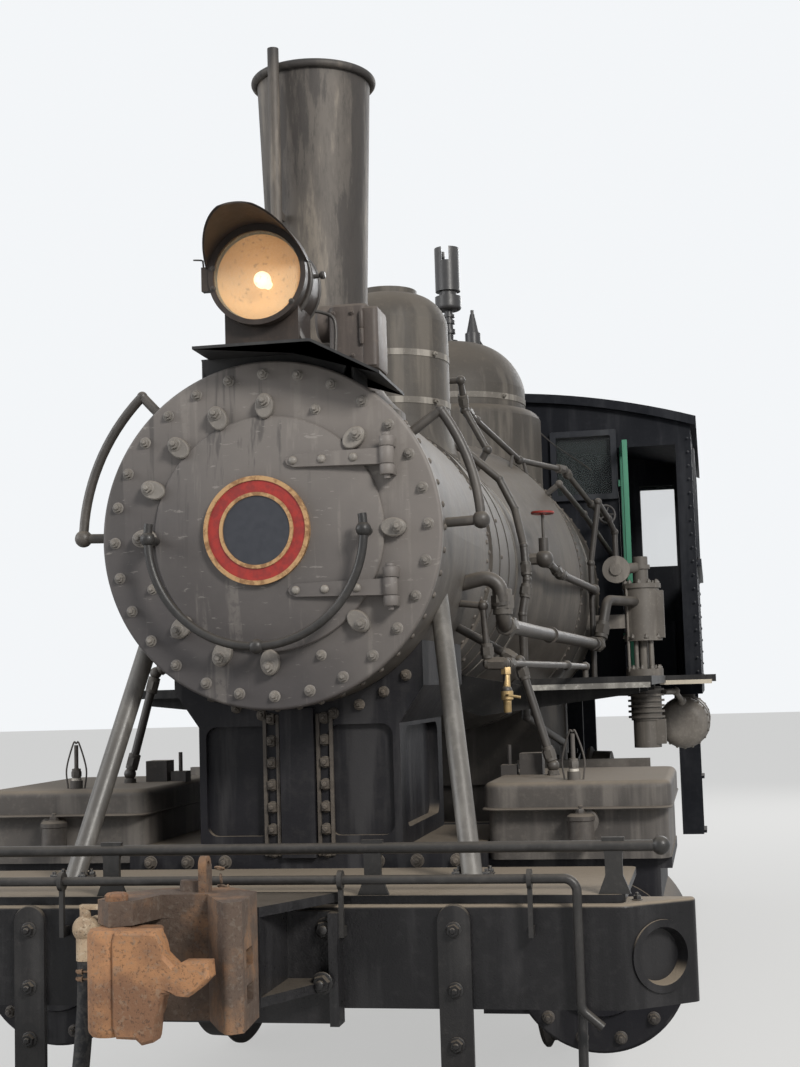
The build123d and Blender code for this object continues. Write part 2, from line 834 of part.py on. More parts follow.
# Cylinder with its half of the saddle, one casting on each side, bolted at the centre
cylinder_back_y = cylinder_front_y + cylinder_length
saddle_half = 370
saddle_front_y = smokebox_face + 330
saddle_back_y = smokebox_face + 1210
saddle_flange = 62
seat_half = 440
with BuildPart() as cylinder_left:
    with BuildSketch(Plane.XZ.offset(-cylinder_front_y)):
        with Locations((cylinder_x, cylinder_z)):
            Circle(cylinder_r)
        rect(frame_x + frame_thickness + seat_gap, cylinder_z - 180, cylinder_x, chest_bottom_z)
        rect(cylinder_x, cylinder_z, cylinder_x + 230, chest_bottom_z)
        rect(chest_inner_x, chest_bottom_z - 40, chest_outer_x - 10, chest_bottom_z)
    extrude(amount=-cylinder_length)
    for cover_y, way in ((cylinder_front_y, 1), (cylinder_back_y, -1)):
        with BuildSketch(Plane.XZ.offset(-cover_y)):
            with Locations((cylinder_x, cylinder_z)):
                Circle(cylinder_r - 12)
        extrude(amount=way * cover_flange)
        with BuildSketch(Plane.XZ.offset(-cover_y + way * cover_flange)):
            with Locations((cylinder_x, cylinder_z)):
                Circle(cover_r - 40)
        extrude(amount=way * (cover_proud - cover_flange), taper=20)
    with BuildSketch(Plane.XZ.offset(-cylinder_back_y)):
        with Locations((cylinder_x, cylinder_z)):
            Circle(72)
    extrude(amount=-110)
    with BuildSketch(Plane.XZ.offset(-saddle_front_y)):
        rect(0, frame_top_z + seat_gap, saddle_half, boiler_z - smokebox_r + 160)
        rect(
            0,
            frame_top_z + seat_gap,
            frame_x + frame_thickness + 40,
            frame_top_z + 90,
        )
        Polygon(
            (0, boiler_z - smokebox_r - 70),
            (saddle_half, boiler_z - smokebox_r - 70),
            (seat_half + 20, boiler_z - smokebox_r + 60),
            (seat_half + 20, boiler_z - smokebox_r + 230),
            (0, boiler_z - smokebox_r + 230),
            align=None,
        )
    extrude(amount=saddle_front_y - saddle_back_y)
    with BuildSketch(Plane.XZ.offset(-saddle_front_y)):
        with Locations((0, boiler_z)):
            Circle(smokebox_r + seat_gap)
    extrude(amount=saddle_front_y - saddle_back_y, mode=Mode.SUBTRACT)
    for panel_x, panel_half in ((0.5 * (saddle_flange + saddle_half) + 10, 118),):
        with BuildSketch(Plane.XZ.offset(-saddle_front_y)):
            with Locations((panel_x, rail_top + 1235)):
                RectangleRounded(2 * panel_half, 390, 40)
        extrude(amount=-26, mode=Mode.SUBTRACT)
    with BuildSketch(Plane.XZ.offset(-saddle_front_y)):
        rect(0, frame_top_z + 60, saddle_flange, rail_top + 1490)
    extrude(amount=26)
    with BuildSketch(Plane.YZ.offset(saddle_half)):
        with Locations((0.5 * (saddle_front_y + saddle_back_y), rail_top + 1235)):
            RectangleRounded(saddle_back_y - saddle_front_y - 200, 360, 50)
    extrude(amount=-40, mode=Mode.SUBTRACT)
with BuildPart() as cylinder_right:
    mirror(cylinder_left.part, about=Plane.YZ)
cylinder_left.part.label = "cylinder_left"
export_step(cylinder_left.part, "parts/cylinder_left.step")
cylinder_right.part.label = "cylinder_right"
export_step(cylinder_right.part, "parts/cylinder_right.step")

# Steam chests over the cylinders, each with an overhanging lid, relief valve and oil cup
chest_back_y = chest_front_y + chest_length
chest_top_z = chest_bottom_z + chest_height
valve_z = chest_bottom_z + 95
valve_x = cylinder_x - 20
cup_x = cylinder_x - 66
cup_y = chest_front_y + 100
oil_box_y = chest_front_y + 500
with BuildPart() as steam_chest_left:
    with BuildSketch(Plane.XY.offset(chest_bottom_z)) as chest_plan:
        rect(chest_inner_x + 14, chest_front_y + 14, chest_outer_x - 14, chest_back_y - 14)
        fillet(chest_plan.vertices(), radius=chest_corner_r - 14)
    extrude(amount=chest_height - chest_lid)
    with BuildSketch(Plane.XY.offset(chest_top_z - chest_lid)) as lid_plan:
        rect(chest_inner_x, chest_front_y, chest_outer_x, chest_back_y)
        fillet(lid_plan.vertices(), radius=chest_corner_r)
    extrude(amount=chest_lid)
    fillet(steam_chest_left.faces().sort_by(Axis.Z)[-1].edges(), radius=26)
    for start_y, end_y, gland_z, gland_r in (
        (chest_front_y + 14, chest_front_y - 40, valve_z + 40, 46),
        (chest_back_y - 14, chest_back_y + 60, valve_z, 44),
    ):
        rod_between((valve_x, start_y, gland_z), (valve_x, end_y, gland_z), gland_r)
    for cup_low, cup_high, cup_r in ((-5, 30, 24), (25, 75, 17), (70, 165, 8)):
        rod_between(
            (cup_x, cup_y, chest_top_z + cup_low),
            (cup_x, cup_y, chest_top_z + cup_high),
            cup_r,
        )
    block((715, oil_box_y - 45, chest_top_z - 5), (803, oil_box_y + 45, chest_top_z + 82))
    block((640, oil_box_y - 34, chest_top_z - 5), (702, oil_box_y + 34, chest_top_z + 38))
    rod_between((671, oil_box_y, chest_top_z), (671, oil_box_y, chest_top_z + 114), 8)
with BuildPart() as steam_chest_right:
    mirror(steam_chest_left.part, about=Plane.YZ)
steam_chest_left.part.label = "steam_chest_left"
export_step(steam_chest_left.part, "parts/steam_chest_left.step")
steam_chest_right.part.label = "steam_chest_right"
export_step(steam_chest_right.part, "parts/steam_chest_right.step")

# Slide bars, crosshead, piston rod, valve rod and main rod on each side. The linkage is open
# at the main crank pin, whose outer half stays in the main rod's end.
guide_front_y = cylinder_back_y + cover_flange + seat_gap
guide_back_y = guide_front_y + guide_length
yoke_thickness = 36
rod_face_x = pin_end_x + pin_break
main_rod_x = cylinder_x - rod_thickness / 2
guide_half = guide_spacing / 2
for side in ("left", "right"):
    pin_y, pin_z = crank_pin_place(main_axle_y, crank_angles[side])
    drop = pin_z - cylinder_z
    crosshead_y = pin_y - sqrt(main_rod_length**2 - drop**2)
    with BuildPart() as guides:
        for way in (1, -1):
            bar_z = cylinder_z + way * (guide_half + guide_bar_depth / 2)
            block(
                (cylinder_x - guide_bar / 2, guide_front_y, bar_z - guide_bar_depth / 2),
                (cylinder_x + guide_bar / 2, guide_back_y, bar_z + guide_bar_depth / 2),
            )
        yoke_low = cylinder_z - guide_half - guide_bar_depth - 30
        with BuildSketch(Plane.XZ.offset(-guide_back_y + yoke_thickness)):
            rect(cylinder_x - guide_bar / 2 + 2, yoke_low, cylinder_x + 130, rail_top + 1110)
            rect(frame_x + 10, rail_top + 1015, cylinder_x + 130, rail_top + 1180)
            rect(frame_x + 10, frame_top_z + seat_gap, frame_x + 90, rail_top + 1180)
            rect(
                cylinder_x - guide_bar / 2 - 1,
                cylinder_z - guide_half,
                cylinder_x + guide_bar / 2 + 12,
                cylinder_z + guide_half,
                mode=Mode.SUBTRACT,
            )
        extrude(amount=-yoke_thickness)
        rod_between(
            (valve_x, chest_back_y + 60, valve_z),
            (valve_x, guide_back_y - 420, valve_z),
            17,
        )
        if side == "right":
            mirror(about=Plane.YZ, mode=Mode.REPLACE)
    with BuildPart() as crosshead:
        rod_between(
            (cylinder_x, cylinder_back_y + 110, cylinder_z),
            (cylinder_x, crosshead_y - 110, cylinder_z),
            piston_rod_r,
        )
        for way in (1, -1):
            shoe_z = cylinder_z + way * (guide_half - seat_gap - 22)
            block(
                (cylinder_x - 44, crosshead_y - crosshead_length / 2, shoe_z - 22),
                (cylinder_x + 44, crosshead_y + crosshead_length / 2, shoe_z + 22),
            )
        for cheek_x in (cylinder_x - 58, cylinder_x + rod_thickness / 2 + 2):
            with BuildSketch(Plane.YZ.offset(cheek_x)):
                Polygon(
                    (crosshead_y - 150, cylinder_z - 60),
                    (crosshead_y - 90, cylinder_z - guide_half + 30),
                    (crosshead_y + 90, cylinder_z - guide_half + 30),
                    (crosshead_y + 90, cylinder_z + guide_half - 30),
                    (crosshead_y - 90, cylinder_z + guide_half - 30),
                    (crosshead_y - 150, cylinder_z + 60),
                    align=None,
                )
            extrude(amount=26)
        block(
            (cylinder_x - 40, crosshead_y - 150, cylinder_z - 58),
            (cylinder_x + 40, crosshead_y - 92, cylinder_z + 58),
        )
        rod_between(
            (cylinder_x - 58, crosshead_y, cylinder_z),
            (cylinder_x + 80, crosshead_y, cylinder_z),
            40,
        )
        if side == "right":
            mirror(about=Plane.YZ, mode=Mode.REPLACE)
    with BuildPart() as crosshead_guides:
        add(guides.part)
        add(crosshead.part)
    crosshead_guides.part.label = f"crosshead_guides_{side}"
    export_step(crosshead_guides.part, f"parts/crosshead_guides_{side}.step")
    with BuildPart() as main_rod:
        with BuildSketch(Plane.YZ.offset(main_rod_x)):
            with BuildLine():
                front = Vector(crosshead_y, cylinder_z)
                back = Vector(pin_y, pin_z)
                way = (back - front).normalized()
                up = Vector(-way.Y, way.X)
                Polyline(
                    front + way * 60 + up * 42,
                    back - way * 60 + up * 60,
                    back - way * 60 - up * 60,
                    front + way * 60 - up * 42,
                    close=True,
                )
            make_face()
            with Locations((crosshead_y, cylinder_z)):
                Circle(72)
            with Locations((pin_y, pin_z)):
                Rectangle(2.2 * crank_boss_r, 1.7 * crank_boss_r, rotation=degrees(atan2(way.Y, way.X)))
            with Locations((crosshead_y, cylinder_z)):
                Circle(40 + pin_gap, mode=Mode.SUBTRACT)
        extrude(amount=rod_thickness)
        with BuildSketch(Plane.YZ.offset(rod_face_x)):
            with Locations((pin_y, pin_z)):
                Circle(crank_pin_r + 10)
        extrude(amount=main_rod_x + rod_thickness + 26 - rod_face_x)
        if side == "right":
            mirror(about=Plane.YZ, mode=Mode.REPLACE)
    main_rod.part.label = f"main_rod_{side}"
    export_step(main_rod.part, f"parts/main_rod_{side}.step")

# Smokebox shell, open at the front behind the door and closed by the tube plate at the back
smokebox_back_y = smokebox_face + smokebox_length
shell_front_y = smokebox_face + ring_thickness
collar_proud = 8
collar_length = 60
with BuildPart() as smokebox:
    with BuildSketch(Plane.XZ.offset(-shell_front_y)):
        with Locations((0, boiler_z)):
            Circle(smokebox_r)
            Circle(smokebox_r - smokebox_wall, mode=Mode.SUBTRACT)
    extrude(amount=shell_front_y - smokebox_back_y)
    with BuildSketch(Plane.XZ.offset(-shell_front_y)):
        with Locations((0, boiler_z)):
            Circle(smokebox_r + collar_proud)
            Circle(smokebox_r - smokebox_wall / 2, mode=Mode.SUBTRACT)
    extrude(amount=-collar_length)
smokebox.part.label = "smokebox"
export_step(smokebox.part, "parts/smokebox.step")

# Room that the ring, smokebox and boiler take up, with the gap of whatever is seated on them
room_steps = (
    (smokebox_face, ring_r),
    (shell_front_y, ring_r),
    (shell_front_y, smokebox_r + collar_proud),
    (shell_front_y + collar_length, smokebox_r + collar_proud),
    (shell_front_y + collar_length, smokebox_r),
    (smokebox_back_y, smokebox_r),
    (smokebox_back_y, boiler_front_r),
    (cone_start_y, boiler_front_r),
    (cone_end_y, boiler_back_r),
    (boiler_end_y, boiler_back_r),
)
with BuildPart() as barrel_room:
    with BuildSketch(Plane.YZ):
        with BuildLine():
            Polyline(
                (smokebox_face, boiler_z),
                *[(step_place, boiler_z + reach + seat_gap) for step_place, reach in room_steps],
                (boiler_end_y, boiler_z),
                close=True,
            )
        make_face()
    revolve(axis=Axis((0, 0, boiler_z), (0, 1, 0)))

# Front ring with the door opening, its hinge ears and the studs on the hinge side
hinge_zs = [boiler_z + 240, boiler_z - 200]
ear_height = 34
barrel_height = 58
barrel_r = 24
hinge_pin_r = 11
door_hinge_y = smokebox_face - door_hinge_out
stud_circle_r = 452
stud_count = 14
stud_out = 34
with BuildPart() as smokebox_front:
    with BuildSketch(Plane.XZ.offset(-smokebox_face)):
        with Locations((0, boiler_z)):
            Circle(ring_r)
            Circle(door_opening_r, mode=Mode.SUBTRACT)
    extrude(amount=-ring_thickness)
    fillet(smokebox_front.faces().sort_by(Axis.Y)[0].edges().sort_by(SortBy.LENGTH)[-1], radius=12)
    for hinge_z in hinge_zs:
        for way in (1, -1):
            ear_low = hinge_z + way * (barrel_height / 2 + 2)
            with BuildSketch(Plane.XY.offset(ear_low)):
                with Locations((door_hinge_x, door_hinge_y)):
                    Circle(barrel_r)
                rect(door_hinge_x - 4, door_hinge_y, door_hinge_x + barrel_r, smokebox_face)
            extrude(amount=way * ear_height)
        rod_between(
            (door_hinge_x, door_hinge_y, hinge_z - barrel_height / 2 - ear_height - 12),
            (door_hinge_x, door_hinge_y, hinge_z + barrel_height / 2 + ear_height + 8),
            hinge_pin_r,
        )
    for step in range(stud_count):
        angle = 2 * pi * (step + 0.5) / stud_count
        stud_x = stud_circle_r * cos(angle)
        stud_z = boiler_z + stud_circle_r * sin(angle)
        if stud_x > door_hinge_x - 90:
            rod_between(
                (stud_x, smokebox_face, stud_z),
                (stud_x, smokebox_face - stud_out, stud_z),
                15,
            )
smokebox_front.part.label = "smokebox_front"
export_step(smokebox_front.part, "parts/smokebox_front.step")

# Smokebox door: a dished disc with two strap hinges and the clamping dogs round its free side
strap_proud = 8
strap_length = 355
with BuildPart() as smokebox_door:
    with BuildSketch(Plane.YZ):
        with BuildLine():
            Polyline(
                (smokebox_face - door_edge - door_crown, boiler_z + door_flat_r),
                (smokebox_face - door_edge - door_crown, boiler_z),
                (smokebox_face - seat_gap, boiler_z),
                (smokebox_face - seat_gap, boiler_z + door_r),
                (smokebox_face - door_edge, boiler_z + door_r),
            )
            ThreePointArc(
                (smokebox_face - door_edge, boiler_z + door_r),
                (
                    smokebox_face - door_edge - 0.72 * door_crown,
                    boiler_z + (door_r + door_flat_r) / 2,
                ),
                (smokebox_face - door_edge - door_crown, boiler_z + door_flat_r),
            )
        make_face()
    revolve(axis=Axis((0, 0, boiler_z), (0, 1, 0)))
    for hinge_z in hinge_zs:
        with BuildSketch(Plane.XZ.offset(10 - smokebox_face)):
            Polygon(
                (door_hinge_x - strap_length, hinge_z),
                (door_hinge_x - strap_length + 26, hinge_z - 22),
                (door_hinge_x - 8, hinge_z - 27),
                (door_hinge_x - 8, hinge_z + 27),
                (door_hinge_x - strap_length + 26, hinge_z + 22),
                align=None,
            )
        extrude(amount=door_edge + door_crown + strap_proud - 10)
        with BuildSketch(Plane.XY.offset(hinge_z - barrel_height / 2)):
            with Locations((door_hinge_x, door_hinge_y)):
                Circle(barrel_r)
        extrude(amount=barrel_height)
        with BuildSketch(Plane.XY.offset(hinge_z - barrel_height / 2)):
            with Locations((door_hinge_x, door_hinge_y)):
                Circle(hinge_pin_r + pin_gap)
        extrude(amount=barrel_height, mode=Mode.SUBTRACT)
    for step in range(stud_count):
        angle = 2 * pi * (step + 0.5) / stud_count
        if stud_circle_r * cos(angle) > door_hinge_x - 90:
            continue
        centre = (
            (stud_circle_r - 22) * cos(angle),
            boiler_z + (stud_circle_r - 22) * sin(angle),
        )
        with BuildSketch(Plane.XZ.offset(-smokebox_face + seat_gap)):
            with Locations(Location(centre, degrees(angle))):
                SlotOverall(112, 50)
        extrude(amount=door_edge + 14)
        rod_between(
            (centre[0], smokebox_face - door_edge - 13, centre[1]),
            (centre[0], smokebox_face - door_edge - 44, centre[1]),
            15,
        )
smokebox_door.part.label = "smokebox_door"
export_step(smokebox_door.part, "parts/smokebox_door.step")

# U-shaped handrail on the door, on three stanchions
grip_r = 375
grip_x = -22
grip_z = boiler_z - 10
grip_bar_r = 15
grip_out = 62
grip_y = smokebox_face - door_edge - door_crown - grip_out
stanchions = [
    (grip_x + grip_r * cos(radians(angle)), grip_z + grip_r * sin(radians(angle)))
    for angle in (180, 270, 360)
]
with BuildPart() as door_handrail:
    with BuildLine(Plane.XZ.offset(-grip_y)) as grip_path:
        CenterArc((grip_x, grip_z), grip_r, 172, 196)
    with BuildSketch(Plane(origin=grip_path.line @ 0, z_dir=grip_path.line % 0)):
        Circle(grip_bar_r)
    sweep(path=grip_path.line)
    for post_x, post_z in stanchions:
        ball((post_x, grip_y, post_z), 26)
        rod_between((post_x, grip_y, post_z), (post_x, smokebox_face - 2, post_z), 14)
    add(smokebox_door.part, mode=Mode.SUBTRACT)
door_handrail.part.label = "door_handrail"
export_step(door_handrail.part, "parts/door_handrail.step")

# Round plate in the middle of the door, left blank
plate_r = 186
plate_x = -28
plate_thickness = 14
with BuildPart() as number_plate:
    plate_y = smokebox_face - door_edge - door_crown - seat_gap
    with BuildSketch(Plane.XZ.offset(-plate_y)):
        with Locations((plate_x, boiler_z + 8)):
            Circle(plate_r)
    extrude(amount=plate_thickness)
    for low_r, high_r in ((plate_r - 15, plate_r), (118, 130)):
        with BuildSketch(Plane.XZ.offset(-plate_y + plate_thickness)):
            with Locations((plate_x, boiler_z + 8)):
                Circle(high_r)
                Circle(low_r, mode=Mode.SUBTRACT)
        extrude(amount=5)
number_plate.part.label = "number_plate"
export_step(number_plate.part, "parts/number_plate.step")

# Lamp platform: a bent plate over the smokebox on four legs, with the generator box behind
platform_half = 193
wing_reach = 420
wing_z = platform_z - 121
platform_back_y = smokebox_face + 300
platform_front_y = smokebox_face - 150
platform_thickness = 12
leg_inner_x = 275
leg_outer_x = 345
leg_thickness = 14


def wing_height(x):
    """The height of the platform's top over its sloping wing."""
    return platform_z + (wing_z - platform_z) * (x - platform_half) / (wing_reach - platform_half)


with BuildPart() as platform_plate:
    with BuildSketch(Plane.XZ.offset(-platform_front_y)):
        Polygon(
            (-wing_reach, wing_z),
            (-platform_half, platform_z),
            (platform_half, platform_z),
            (wing_reach, wing_z),
            (wing_reach, wing_z - platform_thickness),
            (platform_half, platform_z - platform_thickness),
            (-platform_half, platform_z - platform_thickness),
            (-wing_reach, wing_z - platform_thickness),
            align=None,
        )
    extrude(amount=platform_front_y - platform_back_y)
    for leg_y in (shell_front_y + 16, platform_back_y - 50):
        for sign in (1, -1):
            with BuildSketch(Plane.XZ.offset(-leg_y)):
                Polygon(
                    (sign * leg_inner_x, boiler_z + smokebox_r / 2),
                    (sign * leg_outer_x, boiler_z + smokebox_r / 2),
                    (sign * leg_outer_x, wing_height(leg_outer_x) - platform_thickness / 2),
                    (sign * leg_inner_x, wing_height(leg_inner_x) - platform_thickness / 2),
                    align=None,
                )
            extrude(amount=-leg_thickness)
    add(barrel_room.part, mode=Mode.SUBTRACT)

generator_low_x = 108
generator_high_x = 285
generator_top_z = rail_top + 3025
generator_front_y = smokebox_face + 345
generator_back_y = smokebox_face + 535
with BuildPart() as generator:
    with BuildSketch(Plane.XZ.offset(-generator_front_y)) as generator_plan:
        rect(generator_low_x, boiler_z + smokebox_r / 2, generator_high_x, generator_top_z)
        fillet(generator_plan.vertices().group_by(Axis.Y)[-1], radius=38)
    extrude(amount=generator_front_y - generator_back_y)
    turbine_y = (generator_front_y + generator_back_y) / 2
    rod_between(
        (generator_low_x - 62, turbine_y, generator_top_z - 120),
        (generator_low_x + 5, turbine_y, generator_top_z - 120),
        68,
    )
    add(barrel_room.part, mode=Mode.SUBTRACT)
with BuildPart() as lamp_platform:
    add(platform_plate.part)
    add(generator.part)
lamp_platform.part.label = "headlight_platform"
export_step(lamp_platform.part, "parts/headlight_platform.step")

# Headlight: a drum with a bezel and a peaked visor, on a foot over the platform
lamp_front_y = lamp_y
lamp_wall = 8
bezel_r = lamp_r + 10
bezel_depth = 36
visor_r = bezel_r + 11
visor_sheet = 6
visor_out = 245
visor_low = 36
foot_half = 130
with BuildPart() as headlight:
    with BuildSketch(Plane.XZ.offset(-lamp_front_y)):
        with Locations((lamp_x, lamp_z)):
            Circle(bezel_r)
    extrude(amount=-bezel_depth)
    with BuildSketch(Plane.XZ.offset(-lamp_front_y - bezel_depth)):
        with Locations((lamp_x, lamp_z)):
            Circle(lamp_r)
    extrude(amount=-lamp_depth + 60 + bezel_depth)
    with BuildSketch(Plane.XZ.offset(-lamp_front_y - lamp_depth + 60)):
        with Locations((lamp_x, lamp_z)):
            Circle(lamp_r)
    extrude(amount=-60, taper=38)
    with BuildSketch(Plane.XZ.offset(-lamp_front_y)):
        with Locations((lamp_x, lamp_z)):
            Circle(visor_r)
            Circle(visor_r - visor_sheet, mode=Mode.SUBTRACT)
        rect(
            lamp_x - 2 * visor_r,
            lamp_z - 2 * visor_r,
            lamp_x + 2 * visor_r,
            lamp_z + visor_low,
            mode=Mode.SUBTRACT,
        )
    extrude(amount=visor_out)
    with BuildSketch(Plane.XZ.offset(-lamp_front_y - 20)):
        with Locations((lamp_x, lamp_z)):
            Circle(visor_r)
            Circle(bezel_r - 6, mode=Mode.SUBTRACT)
        rect(
            lamp_x - 2 * visor_r,
            lamp_z - 2 * visor_r,
            lamp_x + 2 * visor_r,
            lamp_z + visor_low,
            mode=Mode.SUBTRACT,
        )
    extrude(amount=20)
    with BuildSketch(Plane.YZ.offset(lamp_x - 2 * visor_r)):
        Polygon(
            (lamp_front_y - 1, lamp_z + visor_low),
            (lamp_front_y - visor_out, lamp_z + visor_r - 10),
            (lamp_front_y - visor_out - 10, lamp_z - 10),
            (lamp_front_y - 1, lamp_z - 10),
            align=None,
        )
    extrude(amount=4 * visor_r, mode=Mode.SUBTRACT)
    block(
        (lamp_x - foot_half, lamp_front_y + 50, platform_z),
        (lamp_x + foot_half, lamp_front_y + 220, lamp_z - lamp_r + 60),
    )
    with BuildSketch(Plane.XZ.offset(-lamp_front_y)):
        with Locations((lamp_x, lamp_z)):
            Circle(lamp_r - lamp_wall)
    extrude(amount=-lamp_depth + 120, mode=Mode.SUBTRACT)
    block(
        (lamp_x - bezel_r - 26, lamp_front_y + 6, lamp_z - 42),
        (lamp_x - bezel_r + 6, lamp_front_y + bezel_depth, lamp_z + 42),
    )
headlight.part.label = "headlight"
export_step(headlight.part, "parts/headlight.step")

with BuildPart() as headlight_glass:
    with BuildSketch(Plane.XZ.offset(-lamp_front_y - 12)):
        with Locations((lamp_x, lamp_z)):
            Circle(lamp_r - lamp_wall - seat_gap)
    extrude(amount=-8)
headlight_glass.part.label = "headlight_glass"
export_step(headlight_glass.part, "parts/headlight_glass.step")

# Smokestack: a rolled bead on a slightly tapered shell with a flared saddle on the smokebox
stack_foot_z = boiler_z + smokebox_r - 130
stack_pipe_x = -95
stack_pipe_y = stack_y - 262
stack_pipe_r = 22
with BuildPart() as smokestack:
    with BuildSketch(Plane.YZ):
        with BuildLine():
            Polyline(
                (stack_y + stack_top_r - stack_wall, stack_foot_z),
                (stack_y + stack_base_r, stack_foot_z),
                (stack_y + stack_base_r, boiler_z + smokebox_r - 60),
            )
            ThreePointArc(
                (stack_y + stack_base_r, boiler_z + smokebox_r - 60),
                (stack_y + stack_neck_r + 36, boiler_z + smokebox_r + 70),
                (stack_y + stack_neck_r, stack_neck_z - 120),
            )
            Polyline(
                (stack_y + stack_neck_r, stack_neck_z - 120),
                (stack_y + stack_neck_r, stack_neck_z),
                (stack_y + stack_top_r, stack_top_z - stack_bead_r),
                (stack_y + stack_top_r + 4, stack_top_z - stack_bead_r),
                (stack_y + stack_top_r + 4, stack_top_z),
                (stack_y + stack_top_r - stack_wall, stack_top_z),
                (stack_y + stack_neck_r - stack_wall, stack_neck_z),
                (stack_y + stack_neck_r - stack_wall, stack_foot_z),
                (stack_y + stack_top_r - stack_wall, stack_foot_z),
            )
        make_face()
    revolve(axis=Axis((0, stack_y, 0), (0, 0, 1)))
    with BuildSketch(Plane.YZ):
        with Locations((stack_y + stack_top_r + 8, stack_top_z - stack_bead_r)):
            Circle(stack_bead_r)
    revolve(axis=Axis((0, stack_y, 0), (0, 0, 1)))
    with BuildSketch(Plane.XZ.offset(-stack_y + 500)):
        with Locations((0, boiler_z)):
            Circle(smokebox_r + seat_gap)
    extrude(amount=-1000, mode=Mode.SUBTRACT)
    rod_between(
        (stack_pipe_x, stack_pipe_y, boiler_z + smokebox_r),
        (stack_pipe_x, stack_pipe_y, stack_top_z + 40),
        stack_pipe_r,
    )
    block(
        (stack_pipe_x - 16, stack_pipe_y, stack_neck_z + 300),
        (stack_pipe_x + 16, stack_pipe_y + 64, stack_neck_z + 330),
    )
smokestack.part.label = "smokestack"
export_step(smokestack.part, "parts/smokestack.step")

# Boiler: plain front course, conical course, large course with the firebox under it
band_proud = 4
band_width = 60
band_ys = [smokebox_face + y for y in (1450, 1760, 3340, 4655)]


def boiler_radius(y):
    share = (y - cone_start_y) / (cone_end_y - cone_start_y)
    return boiler_front_r + (boiler_back_r - boiler_front_r) * min(1, max(0, share))


with BuildPart() as boiler:
    with BuildSketch(Plane.YZ):
        with BuildLine():
            Polyline(
                (smokebox_back_y, boiler_z),
                (smokebox_back_y, boiler_z + boiler_front_r),
                (cone_start_y, boiler_z + boiler_front_r),
                (cone_end_y, boiler_z + boiler_back_r),
                (boiler_end_y, boiler_z + boiler_back_r),
                (boiler_end_y, boiler_z),
                close=True,
            )
        make_face()
    revolve(axis=Axis((0, 0, boiler_z), (0, 1, 0)))
    fillet(boiler.faces().sort_by(Axis.Y)[-1].edges(), radius=50)
    for band_y in band_ys:
        with BuildSketch(Plane.XZ.offset(-band_y)):
            with Locations((0, boiler_z)):
                Circle(boiler_radius(band_y) + band_proud)
        extrude(amount=-band_width)
    block(
        (-firebox_half, firebox_front_y, firebox_bottom_z),
        (firebox_half, boiler_end_y - 60, boiler_z - 300),
    )
    block(
        (-firebox_half + 60, firebox_front_y + 60, firebox_bottom_z - 240),
        (firebox_half - 60, axle_ys[2] - 160, firebox_bottom_z),
    )
    with BuildSketch(Plane.XZ.offset(-boiler_end_y)):
        with Locations((0, boiler_z - 300)):
            RectangleRounded(420, 330, 60)
    extrude(amount=-22)
boiler.part.label = "boiler"
export_step(boiler.part, "parts/boiler.step")

# Sand dome and steam dome, each seated on its course of the boiler
sand_lid_r = 148
sand_lid_height = 26
dome_flare = 40
with BuildPart() as sand_dome:
    with BuildSketch(Plane.YZ):
        shoulder = sand_dome_top_z - sand_lid_height - 150
        foot = boiler_z + boiler_front_r - 110
        with BuildLine():
            Polyline(
                (sand_dome_y, sand_dome_top_z),
                (sand_dome_y, foot),
                (sand_dome_y + sand_dome_r + dome_flare, foot),
                (sand_dome_y + sand_dome_r + dome_flare, boiler_z + boiler_front_r - 60),
            )
            ThreePointArc(
                (sand_dome_y + sand_dome_r + dome_flare, boiler_z + boiler_front_r - 60),
                (sand_dome_y + sand_dome_r + 10, boiler_z + boiler_front_r + 30),
                (sand_dome_y + sand_dome_r, boiler_z + boiler_front_r + 110),
            )
            Line(
                (sand_dome_y + sand_dome_r, boiler_z + boiler_front_r + 110),
                (sand_dome_y + sand_dome_r, shoulder),
            )
            ThreePointArc(
                (sand_dome_y + sand_dome_r, shoulder),
                (sand_dome_y + sand_dome_r - 52, shoulder + 102),
                (sand_dome_y + sand_lid_r, shoulder + 150),
            )
            Polyline(
                (sand_dome_y + sand_lid_r, shoulder + 150),
                (sand_dome_y + sand_lid_r, sand_dome_top_z),
                (sand_dome_y, sand_dome_top_z),
            )
        make_face()
    revolve(axis=Axis((0, sand_dome_y, 0), (0, 0, 1)))
    with BuildSketch(Plane.XZ.offset(-sand_dome_y + 400)):
        with Locations((0, boiler_z)):
            Circle(boiler_front_r + seat_gap)
    extrude(amount=-800, mode=Mode.SUBTRACT)
sand_dome.part.label = "sand_dome"
export_step(sand_dome.part, "parts/sand_dome.step")

